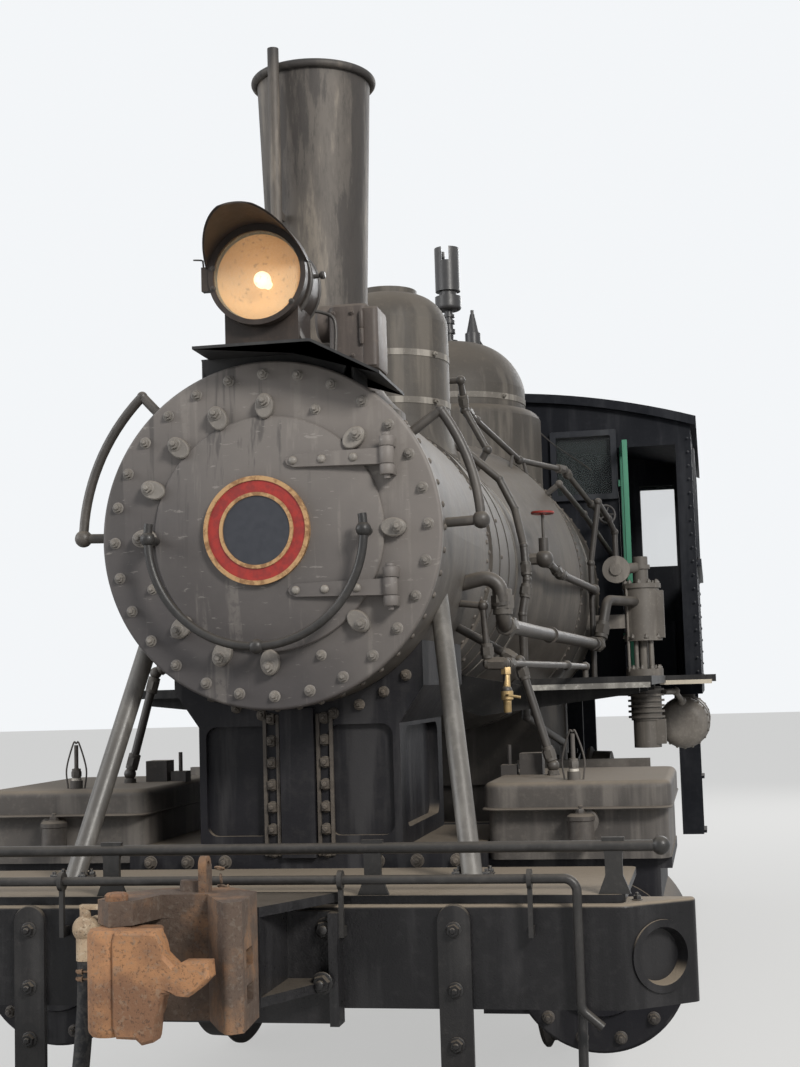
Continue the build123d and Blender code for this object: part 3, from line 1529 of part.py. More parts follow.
steam_base_r = 528
steam_base_z = rail_top + 3150
steam_flat_r = 110
with BuildPart() as steam_dome:
    with BuildSketch(Plane.YZ):
        shoulder = steam_dome_top_z - 300
        foot = boiler_z + boiler_back_r - 260
        with BuildLine():
            Polyline(
                (steam_dome_y + steam_flat_r, steam_dome_top_z),
                (steam_dome_y, steam_dome_top_z),
                (steam_dome_y, foot),
                (steam_dome_y + steam_base_r, foot),
                (steam_dome_y + steam_base_r, steam_base_z - 50),
            )
            ThreePointArc(
                (steam_dome_y + steam_base_r, steam_base_z - 50),
                (steam_dome_y + steam_base_r - 26, steam_base_z - 12),
                (steam_dome_y + steam_dome_r, steam_base_z + 6),
            )
            Line(
                (steam_dome_y + steam_dome_r, steam_base_z + 6),
                (steam_dome_y + steam_dome_r, shoulder),
            )
            ThreePointArc(
                (steam_dome_y + steam_dome_r, shoulder),
                (steam_dome_y + steam_dome_r - 92, shoulder + 188),
                (steam_dome_y + steam_flat_r, steam_dome_top_z),
            )
        make_face()
    revolve(axis=Axis((0, steam_dome_y, 0), (0, 0, 1)))
    with BuildSketch(Plane.XZ.offset(-steam_dome_y + 600)):
        with Locations((0, boiler_z)):
            Circle(boiler_back_r + seat_gap)
    extrude(amount=-1200, mode=Mode.SUBTRACT)
steam_dome.part.label = "steam_dome"
export_step(steam_dome.part, "parts/steam_dome.step")

# Safety valve with its muffler, and the whistle, on top of the steam dome
muffler_r = 75
valve_top_z = rail_top + 4185
valve_rings = (
    # lowest and highest place, above the dome, and radius of each turned part
    (0, 26, 52),
    (20, 220, 26),
    (70, 96, 38),
    (130, 152, 36),
    (170, 186, 36),
    (212, 296, 79),
    (290, 332, 54),
    (328, 512, muffler_r),
)
whistle_x = 143
whistle_r = 47
with BuildPart() as safety_valves:
    for low, high, ring_reach in valve_rings:
        rod_between(
            (0, steam_dome_y, steam_dome_top_z + low + seat_gap),
            (0, steam_dome_y, steam_dome_top_z + high),
            ring_reach,
        )
    foot_z = steam_dome_top_z + 212 + seat_gap
    foot_edges = safety_valves.edges().filter_by_position(Axis.Z, foot_z - 1, foot_z + 1)
    fillet(foot_edges.sort_by(SortBy.LENGTH)[-1], 22)
    with BuildSketch(Plane.XY.offset(steam_dome_top_z + 500)):
        with Locations((0, steam_dome_y)):
            Circle(muffler_r)
            Circle(muffler_r - 12, mode=Mode.SUBTRACT)
            Rectangle(44, 4 * muffler_r, mode=Mode.SUBTRACT)
    extrude(amount=valve_top_z - steam_dome_top_z - 500)
    rod_between(
        (whistle_x, steam_dome_y, steam_dome_top_z - 30),
        (whistle_x, steam_dome_y, steam_dome_top_z + 62),
        whistle_r,
    )
    with BuildSketch(Plane.XY.offset(steam_dome_top_z + 60)):
        with Locations((whistle_x, steam_dome_y)):
            Circle(whistle_r - 8)
    extrude(amount=120, taper=12)
    rod_between(
        (whistle_x, steam_dome_y, steam_dome_top_z + 150),
        (whistle_x, steam_dome_y, steam_dome_top_z + 205),
        10,
    )
    add(steam_dome.part, mode=Mode.SUBTRACT)
safety_valves.part.label = "safety_valves"
export_step(safety_valves.part, "parts/safety_valves.step")

# Running boards on brackets from the boiler, wider beside the air pump
pump_x = 1080
pump_y = smokebox_face + 4100
pump_r = 100
pump_stem_r = 55
bracket_thickness = 26
bracket_ys = [smokebox_face + y for y in (1960, 2900, 3820)]
with BuildPart() as board_left:
    with BuildSketch(Plane.XY.offset(board_z)):
        rect(board_inner_x, board_front_y, board_outer_x, wide_board_y)
        rect(boiler_back_r + 20, wide_board_y, wide_board_x, cab_front_y - seat_gap)
        with Locations((pump_x, pump_y)):
            Circle(pump_stem_r + 25, mode=Mode.SUBTRACT)
    extrude(amount=board_thickness)
    for bracket_y in bracket_ys:
        with BuildSketch(Plane.XZ.offset(-bracket_y)):
            Polygon(
                (240, board_z + 90),
                (board_inner_x, board_z + 8),
                (board_outer_x - 60, board_z + 8),
                (board_outer_x - 60, board_z - 36),
                (420, board_z - 120),
                (180, board_z - 20),
                align=None,
            )
            with Locations((0, boiler_z)):
                Circle(boiler_radius(bracket_y + bracket_thickness) + seat_gap, mode=Mode.SUBTRACT)
        extrude(amount=-bracket_thickness)
with BuildPart() as running_boards:
    add(board_left.part)
    mirror(board_left.part, about=Plane.YZ)
running_boards.part.label = "running_boards"
export_step(running_boards.part, "parts/running_boards.step")

# Steam-driven air pump on the left side, hung through the running board, with its governor
# and the air tank under the cab
pump_rings = (
    # lowest and highest place, above the rail, and radius of each turned part
    (1165, 1335, 78),
    (1320, 1512, 88),
    (1500, 1600, pump_stem_r),
    (1572.3, 1612, 106),
    (1600, 1790, 26),
    (1775, 2100, pump_r),
    (1775, 1800, pump_r + 9),
    (2078, 2104, pump_r + 11),
    (2090, 2262, 42),
    (2190, 2214, 54),
)
fin_count = 6
governor_y = smokebox_face + 3990
tank_x = 1280
tank_z = rail_top + 1288
tank_r = 150
tank_front_y = smokebox_face + 4450
tank_length = 1500
with BuildPart() as pump_alone:
    for low, high, ring_reach in pump_rings:
        rod_between((pump_x, pump_y, rail_top + low), (pump_x, pump_y, rail_top + high), ring_reach)
    for fin in range(fin_count):
        fin_z = rail_top + 1334 + fin * 31
        rod_between((pump_x, pump_y, fin_z), (pump_x, pump_y, fin_z + 12), pump_r + 4)
    for bolt_x, bolt_y, bolt_r in ((42, -42, 13), (-42, -42, 13), (42, 42, 13), (-84, -62, 8)):
        rod_between(
            (pump_x + bolt_x, pump_y + bolt_y, rail_top + 1600),
            (pump_x + bolt_x, pump_y + bolt_y, rail_top + 2090),
            bolt_r,
        )
    block(
        (pump_x + 60, pump_y - 52, rail_top + 1790),
        (pump_x + pump_r + 24, pump_y + 52, rail_top + 2062),
    )
    block(
        (pump_x, pump_y - 60, rail_top + 1185),
        (pump_x + pump_r + 6, pump_y + 60, rail_top + 1325),
    )
    block(
        (boiler_back_r - 60, pump_y - 50, rail_top + 1850),
        (pump_x - 60, pump_y + 50, rail_top + 1930),
    )
    rod_between((948, governor_y - 60, rail_top + 2184), (948, governor_y, rail_top + 2184), 78)
    rod_between((948, governor_y - 76, rail_top + 2184), (948, governor_y - 50, rail_top + 2184), 34)
    rod_between((948, governor_y - 20, rail_top + 2184), (pump_x, pump_y, rail_top + 2202), 30)
    add(barrel_room.part, mode=Mode.SUBTRACT)
with BuildPart() as air_tank:
    with BuildSketch(Plane.XZ.offset(-tank_front_y)):
        with Locations((tank_x, tank_z)):
            Circle(tank_r)
    extrude(amount=-tank_length)
    fillet(air_tank.edges().filter_by(GeomType.CIRCLE), radius=70)
    for hanger_y in (cab_front_y + 220, cab_front_y + 870):
        block(
            (tank_x - 60, hanger_y, tank_z),
            (tank_x + 60, hanger_y + 50, cab_floor_z - floor_thickness - seat_gap),
        )
    jointed_pipe(
        15,
        26,
        [
            (pump_x + pump_r + 4 + seat_gap, pump_y, rail_top + 1480),
            place(1245, 4230, 1480),
            place(1275, 4430, 1420),
            place(tank_x, 4600, 1340),
        ],
    )
with BuildPart() as air_pump:
    add(pump_alone.part)
    add(air_tank.part)
air_pump.part.label = "air_pump"
export_step(air_pump.part, "parts/air_pump.step")

# Smokebox braces down to the front deck, with foot pads
brace_r = 34
with BuildPart() as smokebox_braces:
    for sign in (1, -1):
        foot = (sign * 680, smokebox_face - 100, deck_z + deck_thickness)
        head = place(sign * 540, 300, 1750)
        way = (Vector(*head) - Vector(*foot)).normalized()
        rod_between(foot, tuple(Vector(*head) + way * 200), brace_r)
        block(
            (foot[0] - 62, foot[1] - 52, foot[2]),
            (foot[0] + 62, foot[1] + 52, foot[2] + 22),
        )
    add(barrel_room.part, mode=Mode.SUBTRACT)
    with BuildSketch(Plane.XY.offset(deck_z - 200)):
        rect(-900, smokebox_face - 300, 900, smokebox_face + 200)
    extrude(amount=200 + deck_thickness, mode=Mode.SUBTRACT)
smokebox_braces.part.label = "smokebox_braces"
export_step(smokebox_braces.part, "parts/smokebox_braces.step")

# Grab hoops at the smokebox sides, the left one ending lower than the right
hoop_r = 717
hoop_y = smokebox_face + 115
hoop_bar_r = 17
hoop_low_angle = 2
hoop_tops = {"left": 35, "right": 47}


def around_boiler(reach, angle, place_y):
    """A place round the boiler's axis, at an angle up from its left side."""
    return (
        reach * cos(radians(angle)),
        place_y,
        boiler_z + reach * sin(radians(angle)),
    )


hoops = []
for side, top_angle in hoop_tops.items():
    with BuildPart() as hoop:
        hoop_start = around_boiler(hoop_r, hoop_low_angle, hoop_y)
        hoop_way = (-sin(radians(hoop_low_angle)), 0, cos(radians(hoop_low_angle)))
        with BuildSketch(Plane(origin=hoop_start, z_dir=hoop_way)):
            Circle(hoop_bar_r)
        revolve(
            axis=Axis((0, 0, boiler_z), (0, -1, 0)),
            revolution_arc=top_angle - hoop_low_angle,
        )
        for angle, knob_r in ((hoop_low_angle, 31), (top_angle, hoop_bar_r + 2)):
            outer = around_boiler(hoop_r, angle, hoop_y)
            inner = around_boiler(smokebox_r + seat_gap, angle, hoop_y)
            ball(outer, knob_r)
            rod_between(outer, inner, hoop_bar_r)
        if side == "right":
            mirror(about=Plane.YZ, mode=Mode.REPLACE)
    hoops.append(hoop.part)

# Pipes found on both sides: the sand pipe to the rail and the chest's oil and steam pipe
sand_pipe = (
    place(250, 2220, 2740),
    place(360, 2250, 2660),
    place(510, 2250, 2524),
    place(580, 2250, 2377),
    place(627, 2150, 2190),
    place(640, 2120, 2030),
    place(615, 2100, 1870),
    place(615, 2100, 1400),
    place(725, 2675, 1260),
    place(725, 2675, 150),
)
with BuildPart() as paired_pipes:
    jointed_pipe(19, 21, sand_pipe)
    jointed_pipe(
        17,
        24,
        [
            (850, smokebox_face + 900, chest_top_z + seat_gap),
            place(850, 900, 1240),
            place(735, 900, 1640),
            place(480, 900, 1790),
        ],
    )
    add(barrel_room.part, mode=Mode.SUBTRACT)
    add(sand_dome.part, mode=Mode.SUBTRACT)

# Pipes of the left side, each with its radius, its joints' radius and its places
board_top_z = board_z + board_thickness + seat_gap
wall_y = cab_front_y - seat_gap
left_runs = (
    (16, 25, (
        place(120, 2600, 2600),
        place(120, 2600, 3080),
        place(287, 2600, 3080),
        place(290, 2690, 2944),
        place(323, 2850, 2915),
        place(488, 3300, 2756),
        place(686, 3800, 2755),
        place(798, 4260, 2602),
        (880, wall_y, rail_top + 2530),
    )),
    (18, 25, (place(290, 2690, 2944), place(400, 2680, 2730), place(330, 2690, 2620))),
    (15, 22, (
        place(600, 3300, 2540),
        place(699, 3300, 2614),
        place(773, 4000, 2518),
        (887, wall_y, rail_top + 2322),
    )),
    (16, 22, (
        (818, smokebox_face + 3700, board_top_z),
        place(824, 3700, 2209),
        place(877, 3700, 2551),
        place(921, 3880, 2470),
        place(948, 3960, 2400),
        (948, governor_y - 30, rail_top + 2184 + 78 + seat_gap),
    )),
    (20, 30, (
        place(560, 2450, 2150),
        place(690, 2450, 2150),
        place(740, 2700, 2090),
        place(850, 3500, 2050),
        place(822, 3700, 2050),
    )),
    (13, 21, (
        place(480, 700, 1870),
        place(630, 700, 1850),
        place(642, 700, 1633),
        place(704, 700, 1631),
        place(872, 1400, 1623),
        place(905, 1950, 1620),
        (905, smokebox_face + 1950, board_top_z),
    )),
)
exhaust = (
    place(500, 660, 1920),
    place(702, 660, 1965),
    place(706, 682, 1775),
    place(751, 1400, 1765),
    place(860, 3600, 1750),
    place(905, 3700, 2000),
    (pump_x, pump_y, rail_top + 2000),
)
exhaust_r = 28
with BuildPart() as left_pipes:
    for pipe_r, joint_r, run in left_runs:
        jointed_pipe(pipe_r, joint_r, run)
    rod_between(place(462, 3220, 2776), place(440, 3140, 2600), 9)
    rod_between(place(506, 3345, 2752), place(556, 3270, 2550), 9)
    ball(place(690, 2450, 2150), 44)
    rod_between(place(690, 2450, 2150), place(690, 2450, 2250), 25)
    rod_between(place(690, 2450, 2240), place(690, 2450, 2385), 8)
    with BuildSketch(Plane.XY.offset(rail_top + 2368)):
        with Locations((690, smokebox_face + 2450)):
            Circle(56)
            Circle(44, mode=Mode.SUBTRACT)
            Rectangle(96, 12)
            Rectangle(12, 96)
    extrude(amount=12)
    rod_between(place(707, 700, 1631), place(710, 700, 1446), 13)
    ball(place(708, 700, 1530), 21)
    add(barrel_room.part, mode=Mode.SUBTRACT)
    block((800, wall_y, rail_top + 2200), (1000, wall_y + 60, rail_top + 2700), mode=Mode.SUBTRACT)
with BuildPart() as exhaust_pipe:
    bent_pipe(exhaust, 62, exhaust_r)
    for flange_start, flange_end in (
        (place(702, 672, 1860), place(703, 673, 1848)),
        (place(770, 1780, 1763), place(771, 1794, 1763)),
        (place(845, 3300, 1752), place(846, 3314, 1752)),
    ):
        rod_between(flange_start, flange_end, exhaust_r + 9)
    add(barrel_room.part, mode=Mode.SUBTRACT)
    rod_between(
        (pump_x, pump_y, rail_top + 1900),
        (pump_x, pump_y, rail_top + 2070),
        pump_r + seat_gap,
        mode=Mode.SUBTRACT,
    )

# Handrail along the right side of the boiler, on four posts
rail_reach = 868
rail_angle = 38
rail_bar_r = 16
rail_post_backs = (1400, 2350, 3420, 4600)
with BuildPart() as right_rail:
    rod_between(
        around_boiler(rail_reach, rail_angle, smokebox_face + 1350),
        around_boiler(rail_reach, rail_angle, wall_y),
        rail_bar_r,
    )
    for post_back in rail_post_backs:
        knob = around_boiler(rail_reach, rail_angle, smokebox_face + post_back)
        rod_between(knob, around_boiler(boiler_front_r - 50, rail_angle, smokebox_face + post_back), 12)
        ball(knob, 25)
    add(barrel_room.part, mode=Mode.SUBTRACT)
    mirror(about=Plane.YZ, mode=Mode.REPLACE)
with BuildPart() as boiler_pipes:
    for hoop_part in hoops:
        add(hoop_part)
    add(paired_pipes.part)
    mirror(paired_pipes.part, about=Plane.YZ)
    add(left_pipes.part)
    add(exhaust_pipe.part)
    add(right_rail.part)
boiler_pipes.part.label = "boiler_pipes"
export_step(boiler_pipes.part, "parts/boiler_pipes.step")

# Cab walls, as thick as the whole wall, under an arched roof
roof_centre_z = roof_crown_z - roof_r
under_r = roof_r - roof_thickness - seat_gap


def roof_under(x):
    return roof_centre_z + sqrt(under_r**2 - x**2)


front_window = (560, 905, rail_top + 2710, rail_top + 3080)
rear_window = (980, 1240, rail_top + 2400, rail_top + 3020)
gangway_half = 700
gangway_top_z = rail_top + 2950
hinge_r = 9
hinge_bore_r = 4.3
hinge_height = 40
cab_hinge_x = doorway_inner_x + 2
cab_hinge_y = cab_front_y - hinge_r - 1
cab_hinge_zs = [rail_top + 1800, rail_top + 2750]
with BuildPart() as cab_front:
    with BuildSketch(Plane.XZ.offset(-cab_front_y)):
        with Locations((0, roof_centre_z)):
            Circle(under_r)
        rect(-cab_half, cab_floor_z, cab_half, roof_crown_z, mode=Mode.INTERSECT)
        with Locations((0, boiler_z)):
            Circle(boiler_back_r + seat_gap, mode=Mode.SUBTRACT)
        rect(-540, cab_floor_z - 1, 540, cab_floor_z + 200, mode=Mode.SUBTRACT)
        for sign in (1, -1):
            x0, x1, z0, z1 = front_window
            rect(sign * x0, z0, sign * x1, z1, mode=Mode.SUBTRACT)
            rect(
                sign * doorway_inner_x,
                doorway_sill_z,
                sign * doorway_outer_x,
                doorway_top_z,
                mode=Mode.SUBTRACT,
            )
    extrude(amount=-cab_wall)
    for sign in (1, -1):
        for hinge_z in cab_hinge_zs:
            ear_x = sign * (cab_hinge_x - 22)
            rod_between(
                (sign * cab_hinge_x, cab_hinge_y, hinge_z - 30),
                (sign * cab_hinge_x, cab_hinge_y, hinge_z - 0.5),
                hinge_r,
            )
            rod_between(
                (sign * cab_hinge_x, cab_hinge_y, hinge_z - 5),
                (sign * cab_hinge_x, cab_hinge_y, hinge_z + hinge_height + 4),
                hinge_bore_r - pin_gap,
            )
            block(
                (min(ear_x, sign * cab_hinge_x), cab_hinge_y - 3, hinge_z - 30),
                (max(ear_x, sign * cab_hinge_x), cab_front_y + 1, hinge_z - 0.5),
            )
cab_front.part.label = "cab_front"
export_step(cab_front.part, "parts/cab_front.step")

side_low_y = cab_front_y + cab_wall
side_high_y = cab_back_y - cab_wall
side_top_z = roof_under(cab_half) - 0.2
window_sill_z = rail_top + 2330
window_top_z = rail_top + 2980
window_rows = (
    # front edge and rear edge, from the front wall's back face
    (250, 1090),
    (1150, 1990),
)
with BuildPart() as cab_sides:
    with BuildSketch(Plane.YZ.offset(cab_half - cab_wall)):
        rect(side_low_y, cab_floor_z, side_high_y, side_top_z)
        for low, high in window_rows:
            rect(
                side_low_y + low,
                window_sill_z,
                side_low_y + high,
                window_top_z,
                mode=Mode.SUBTRACT,
            )
    extrude(amount=cab_wall)
    mirror(about=Plane.YZ)
cab_sides.part.label = "cab_sides"
export_step(cab_sides.part, "parts/cab_sides.step")

with BuildPart() as cab_rear:
    with BuildSketch(Plane.XZ.offset(-side_high_y)):
        with Locations((0, roof_centre_z)):
            Circle(under_r)
        rect(-cab_half, cab_floor_z, cab_half, roof_crown_z, mode=Mode.INTERSECT)
        rect(-gangway_half, cab_floor_z - 1, gangway_half, gangway_top_z, mode=Mode.SUBTRACT)
        for sign in (1, -1):
            x0, x1, z0, z1 = rear_window
            rect(sign * x0, z0, sign * x1, z1, mode=Mode.SUBTRACT)
    extrude(amount=-cab_wall)
cab_rear.part.label = "cab_rear"
export_step(cab_rear.part, "parts/cab_rear.step")

with BuildPart() as cab_roof:
    with BuildSketch(Plane.XZ.offset(-cab_front_y + roof_front_over)):
        with Locations((0, roof_centre_z)):
            Circle(roof_r)
            Circle(roof_r - roof_thickness, mode=Mode.SUBTRACT)
        rect(-roof_half, roof_centre_z + roof_r / 2, roof_half, roof_crown_z + 10, mode=Mode.INTERSECT)
    extrude(amount=cab_front_y - roof_front_over - smokebox_face - tail_reach)
cab_roof.part.label = "cab_roof"
export_step(cab_roof.part, "parts/cab_roof.step")

# Cab floor round the boiler and firebox, on brackets from the frames, with side steps
floor_cut_half = 545
floor_back_y = cab_back_y + 140
step_y = cab_back_y - 180
seat_width = 380
seat_outer_x = cab_half - cab_wall - 126
with BuildPart() as cab_floor:
    with BuildSketch(Plane.XY.offset(cab_floor_z - floor_thickness)):
        rect(-cab_half, cab_front_y, cab_half, floor_back_y)
        rect(-floor_cut_half, cab_front_y - 1, floor_cut_half, boiler_end_y + 30, mode=Mode.SUBTRACT)
    extrude(amount=floor_thickness)
    for sign in (1, -1):
        for post_y in (axle_ys[2] + tread_r + 60, cab_back_y - 420):
            inner, outer = sorted((sign * frame_x, sign * (frame_x + frame_thickness)))
            block(
                (inner, post_y, frame_top_z + seat_gap),
                (outer, post_y + 60, cab_floor_z - floor_thickness),
            )
        inner, outer = sorted((sign * (cab_half - 60), sign * (cab_half - 48)))
        for plate_y in (step_y - 160, step_y + 150):
            block(
                (inner - 140, plate_y, rail_top + 420),
                (outer, plate_y + 12, cab_floor_z - floor_thickness),
            )
        for tread_z in (rail_top + 430, rail_top + 820):
            block(
                (inner - 140, step_y - 160, tread_z),
                (outer + 20, step_y + 162, tread_z + 20),
            )
        inner, outer = sorted((sign * (seat_outer_x - seat_width), sign * seat_outer_x))
        block(
            (inner, boiler_end_y - 650, cab_floor_z),
            (outer, boiler_end_y + 50, cab_floor_z + 430),
        )
cab_floor.part.label = "cab_floor"
export_step(cab_floor.part, "parts/cab_floor.step")

# Front cab doors with a glazed upper half; the left one stands open as it was found
leaf_low_x = doorway_inner_x + 5
leaf_high_x = doorway_outer_x - 9
leaf_low_z = doorway_sill_z + 8
leaf_high_z = doorway_top_z - 5
leaf_thickness = 30
stile = 48
pane_low_z = rail_top + 2260
left_door_open = 84
with BuildPart() as door_blank:
    with BuildSketch(Plane.XZ.offset(-cab_front_y - 2)):
        rect(leaf_low_x, leaf_low_z, leaf_high_x, leaf_high_z)
        rect(leaf_low_x + stile, pane_low_z, leaf_high_x - stile, leaf_high_z - stile, mode=Mode.SUBTRACT)
    extrude(amount=-leaf_thickness)
    for hinge_z in cab_hinge_zs:
        block(
            (cab_hinge_x, cab_hinge_y - 3, hinge_z),
            (leaf_low_x + 40, cab_front_y + 3, hinge_z + hinge_height),
        )
        rod_between(
            (cab_hinge_x, cab_hinge_y, hinge_z),
            (cab_hinge_x, cab_hinge_y, hinge_z + hinge_height),
            hinge_r,
        )
        with BuildSketch(Plane.XY.offset(hinge_z)):
            with Locations((cab_hinge_x, cab_hinge_y)):
                Circle(hinge_bore_r)
        extrude(amount=hinge_height, mode=Mode.SUBTRACT)
with BuildPart() as pane_blank:
    with BuildSketch(Plane.XZ.offset(-cab_front_y - 2 - leaf_thickness / 2)):
        rect(
            leaf_low_x + stile + seat_gap,
            pane_low_z + seat_gap,
            leaf_high_x - stile - seat_gap,
            leaf_high_z - stile - seat_gap,
        )
    extrude(amount=-6)
hinge_line = Axis((cab_hinge_x, cab_hinge_y, 0), (0, 0, 1))
for blank, piece in ((door_blank, "door"), (pane_blank, "door_pane")):
    with BuildPart() as cab_door_left:
        add(blank.part.rotate(hinge_line, -left_door_open))
    with BuildPart() as cab_door_right:
        mirror(blank.part, about=Plane.YZ)
    cab_door_left.part.label = f"cab_{piece}_left"
    export_step(cab_door_left.part, f"parts/cab_{piece}_left.step")
    cab_door_right.part.label = f"cab_{piece}_right"
    export_step(cab_door_right.part, f"parts/cab_{piece}_right.step")

# Fixed window panes of the cab
pane_thickness = 6
with BuildPart() as cab_windows:
    for sign in (1, -1):
        x0, x1, z0, z1 = front_window
        with BuildSketch(Plane.XZ.offset(-cab_front_y - cab_wall / 2)):
            rect(sign * (x0 + seat_gap), z0 + seat_gap, sign * (x1 - seat_gap), z1 - seat_gap)
        extrude(amount=-pane_thickness)
        x0, x1, z0, z1 = rear_window
        with BuildSketch(Plane.XZ.offset(-side_high_y - cab_wall / 2)):
            rect(sign * (x0 + seat_gap), z0 + seat_gap, sign * (x1 - seat_gap), z1 - seat_gap)
        extrude(amount=-pane_thickness)
        low, high = window_rows[0]
        with BuildSketch(Plane.YZ.offset(sign * (cab_half - cab_wall / 2))):
            rect(
                side_low_y + low + seat_gap,
                window_sill_z + seat_gap,
                side_low_y + high - seat_gap,
                window_top_z - seat_gap,
            )
        extrude(amount=pane_thickness)
cab_windows.part.label = "cab_windows"
export_step(cab_windows.part, "parts/cab_windows.step")
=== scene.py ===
# %% [markdown]
# A small steam switching engine, dressed around its solid model.
# The solids carry the true sizes and joints, so this script gives them their finishes, and adds
# rivets, nuts, rims, glass and small fittings that a finished engine shows from a step away.

import bpy
import numpy as np
from mathutils import Matrix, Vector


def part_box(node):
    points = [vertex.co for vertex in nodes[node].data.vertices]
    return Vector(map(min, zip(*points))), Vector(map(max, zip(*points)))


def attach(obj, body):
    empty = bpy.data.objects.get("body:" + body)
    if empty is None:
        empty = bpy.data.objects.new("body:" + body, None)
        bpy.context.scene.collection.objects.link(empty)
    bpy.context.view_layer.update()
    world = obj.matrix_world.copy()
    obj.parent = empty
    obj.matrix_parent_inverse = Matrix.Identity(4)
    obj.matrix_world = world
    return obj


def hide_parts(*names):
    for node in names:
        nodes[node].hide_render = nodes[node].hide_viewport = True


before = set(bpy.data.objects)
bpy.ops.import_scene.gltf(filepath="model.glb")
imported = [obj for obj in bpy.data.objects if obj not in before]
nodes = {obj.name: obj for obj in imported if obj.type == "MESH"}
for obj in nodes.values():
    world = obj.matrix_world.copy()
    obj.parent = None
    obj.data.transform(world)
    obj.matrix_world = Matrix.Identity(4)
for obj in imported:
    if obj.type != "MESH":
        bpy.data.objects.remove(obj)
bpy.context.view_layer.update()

# %% [markdown]
# Three lines of the engine place most fittings: the flat of the smokebox front, the rail's top and
# the boiler's axis. The axis and the cab's walls are read from the solids' own boxes.

# %% Main lines of the engine
FACE_Y = -3.100
RAIL_Z = 0.028


def low_high(node):
    """The lowest and the highest corner of a solid's box."""
    low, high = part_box(node)
    return np.array(low), np.array(high)


def rail_to_z(height):
    """A height above the rail's top as a height in the frame."""
    return RAIL_Z + height


def linked(name, data):
    """A new object of the scene that shows the data."""
    made = bpy.data.objects.new(name, data)
    bpy.context.scene.collection.objects.link(made)
    return made


front_low, front_high = low_high("smokebox_front")
cab_low, cab_high = low_high("cab_front")
boiler_z = (front_high[2] + front_low[2]) / 2
print("boiler centre height", round(boiler_z, 3))

# %% [markdown]
# The camera stands low in front of the engine, a little to its left side. Solving for the rails,
# the ring and the beam as the photograph shows them gave this standpoint.

# %% Camera at the photograph's standpoint
EYE = np.array([1.4653, -8.3340, 1.5914])
YAW = np.radians(10.917)
PITCH = np.radians(5.420)
ROLL = np.radians(-1.697)
FOCAL_PIXELS = 1594.47
FRAME_HEIGHT_PIXELS = 1067
SENSOR_MM = 36.0


def camera_at_photo():
    """Axes of the view from yaw about Z, then pitch, then roll about the line of sight."""
    ahead = np.array([-np.sin(YAW) * np.cos(PITCH), np.cos(YAW) * np.cos(PITCH), np.sin(PITCH)])
    level = np.array([np.cos(YAW), np.sin(YAW), 0.0])
    upright = np.cross(level, ahead)
    right = level * np.cos(ROLL) + upright * np.sin(ROLL)
    up = upright * np.cos(ROLL) - level * np.sin(ROLL)
    data = bpy.data.cameras.new("photo_camera")
    data.sensor_width = SENSOR_MM
    data.lens = FOCAL_PIXELS / FRAME_HEIGHT_PIXELS * SENSOR_MM
    data.clip_end = 200.0
    camera = linked("photo_camera", data)
    turn = Matrix(np.column_stack([right, up, -ahead]).tolist()).to_4x4()
    camera.matrix_world = Matrix.Translation(EYE.tolist()) @ turn
    bpy.context.scene.camera = camera
    return camera


camera = camera_at_photo()
print("lens", round(camera.data.lens, 2), "mm")

# %% [markdown]
# Shader maths reads best as arithmetic. A Wire stands for one output of a node, and adding or
# multiplying wires adds the Math nodes. A Shading is one node tree, and its node method is the only
# place that makes a node: it takes the node's kind, its settings, and what goes into its sockets.
# A Finish is the Shading of one material.

# %% Wires and finishes
class Wire:
    """One output socket, with the operators that are used on it."""

    def __init__(self, shading, socket):
        self.shading = shading
        self.socket = socket

    def math(self, operation, *values):
        return self.shading.add("Math", {"operation": operation}, dict(enumerate(values)))

    def __add__(self, other):
        return self.math("ADD", self, other)

    def __radd__(self, other):
        return self.math("ADD", other, self)

    def __sub__(self, other):
        return self.math("SUBTRACT", self, other)

    def __rsub__(self, other):
        return self.math("SUBTRACT", other, self)

    def __mul__(self, other):
        return self.math("MULTIPLY", self, other)

    def __rmul__(self, other):
        return self.math("MULTIPLY", other, self)

    def __truediv__(self, other):
        return self.math("DIVIDE", self, other)

    def most(self, other):
        return self.math("MAXIMUM", self, other)

    def size(self):
        return self.math("ABSOLUTE", self)

    def root(self):
        return self.math("SQRT", self)

    def capped(self):
        return self.shading.add("Clamp", {}, {"Value": self})

    def above(self, edge, soft=0.02):
        """0 below edge, 1 above it, with a smooth step as wide as soft."""
        span = {"Value": self, "From Min": edge - soft / 2, "From Max": edge + soft / 2}
        return self.shading.add("MapRange", {"interpolation_type": "SMOOTHSTEP"}, span)

    def below(self, edge, soft=0.02):
        return 1 - self.above(edge, soft)

    def between(self, low, high, soft=0.004):
        return self.above(low, soft) * self.below(high, soft)


class Shading:
    """The node tree of a material or of the world."""

    def __init__(self, owner):
        owner.use_nodes = True
        self.tree = owner.node_tree
        self.tree.nodes.clear()

    def join(self, socket, value):
        if isinstance(value, Wire):
            self.tree.links.new(value.socket, socket)
        elif isinstance(value, (tuple, list)) and len(socket.default_value) == 4:
            socket.default_value = (*value[:3], 1.0)
        else:
            socket.default_value = value

    def node(self, kind, settings, values):
        made = self.tree.nodes.new("ShaderNode" + kind)
        for key, value in settings.items():
            setattr(made, key, value)
        for key, value in values.items():
            self.join(made.inputs[key], value)
        return made

    def add(self, kind, settings, values, output=0):
        return Wire(self, self.node(kind, settings, values).outputs[output])

    def ray(self, kind):
        """1 for rays of one kind, as Camera or Glossy, and 0 for the others."""
        return self.add("LightPath", {}, {}, "Is " + kind + " Ray")


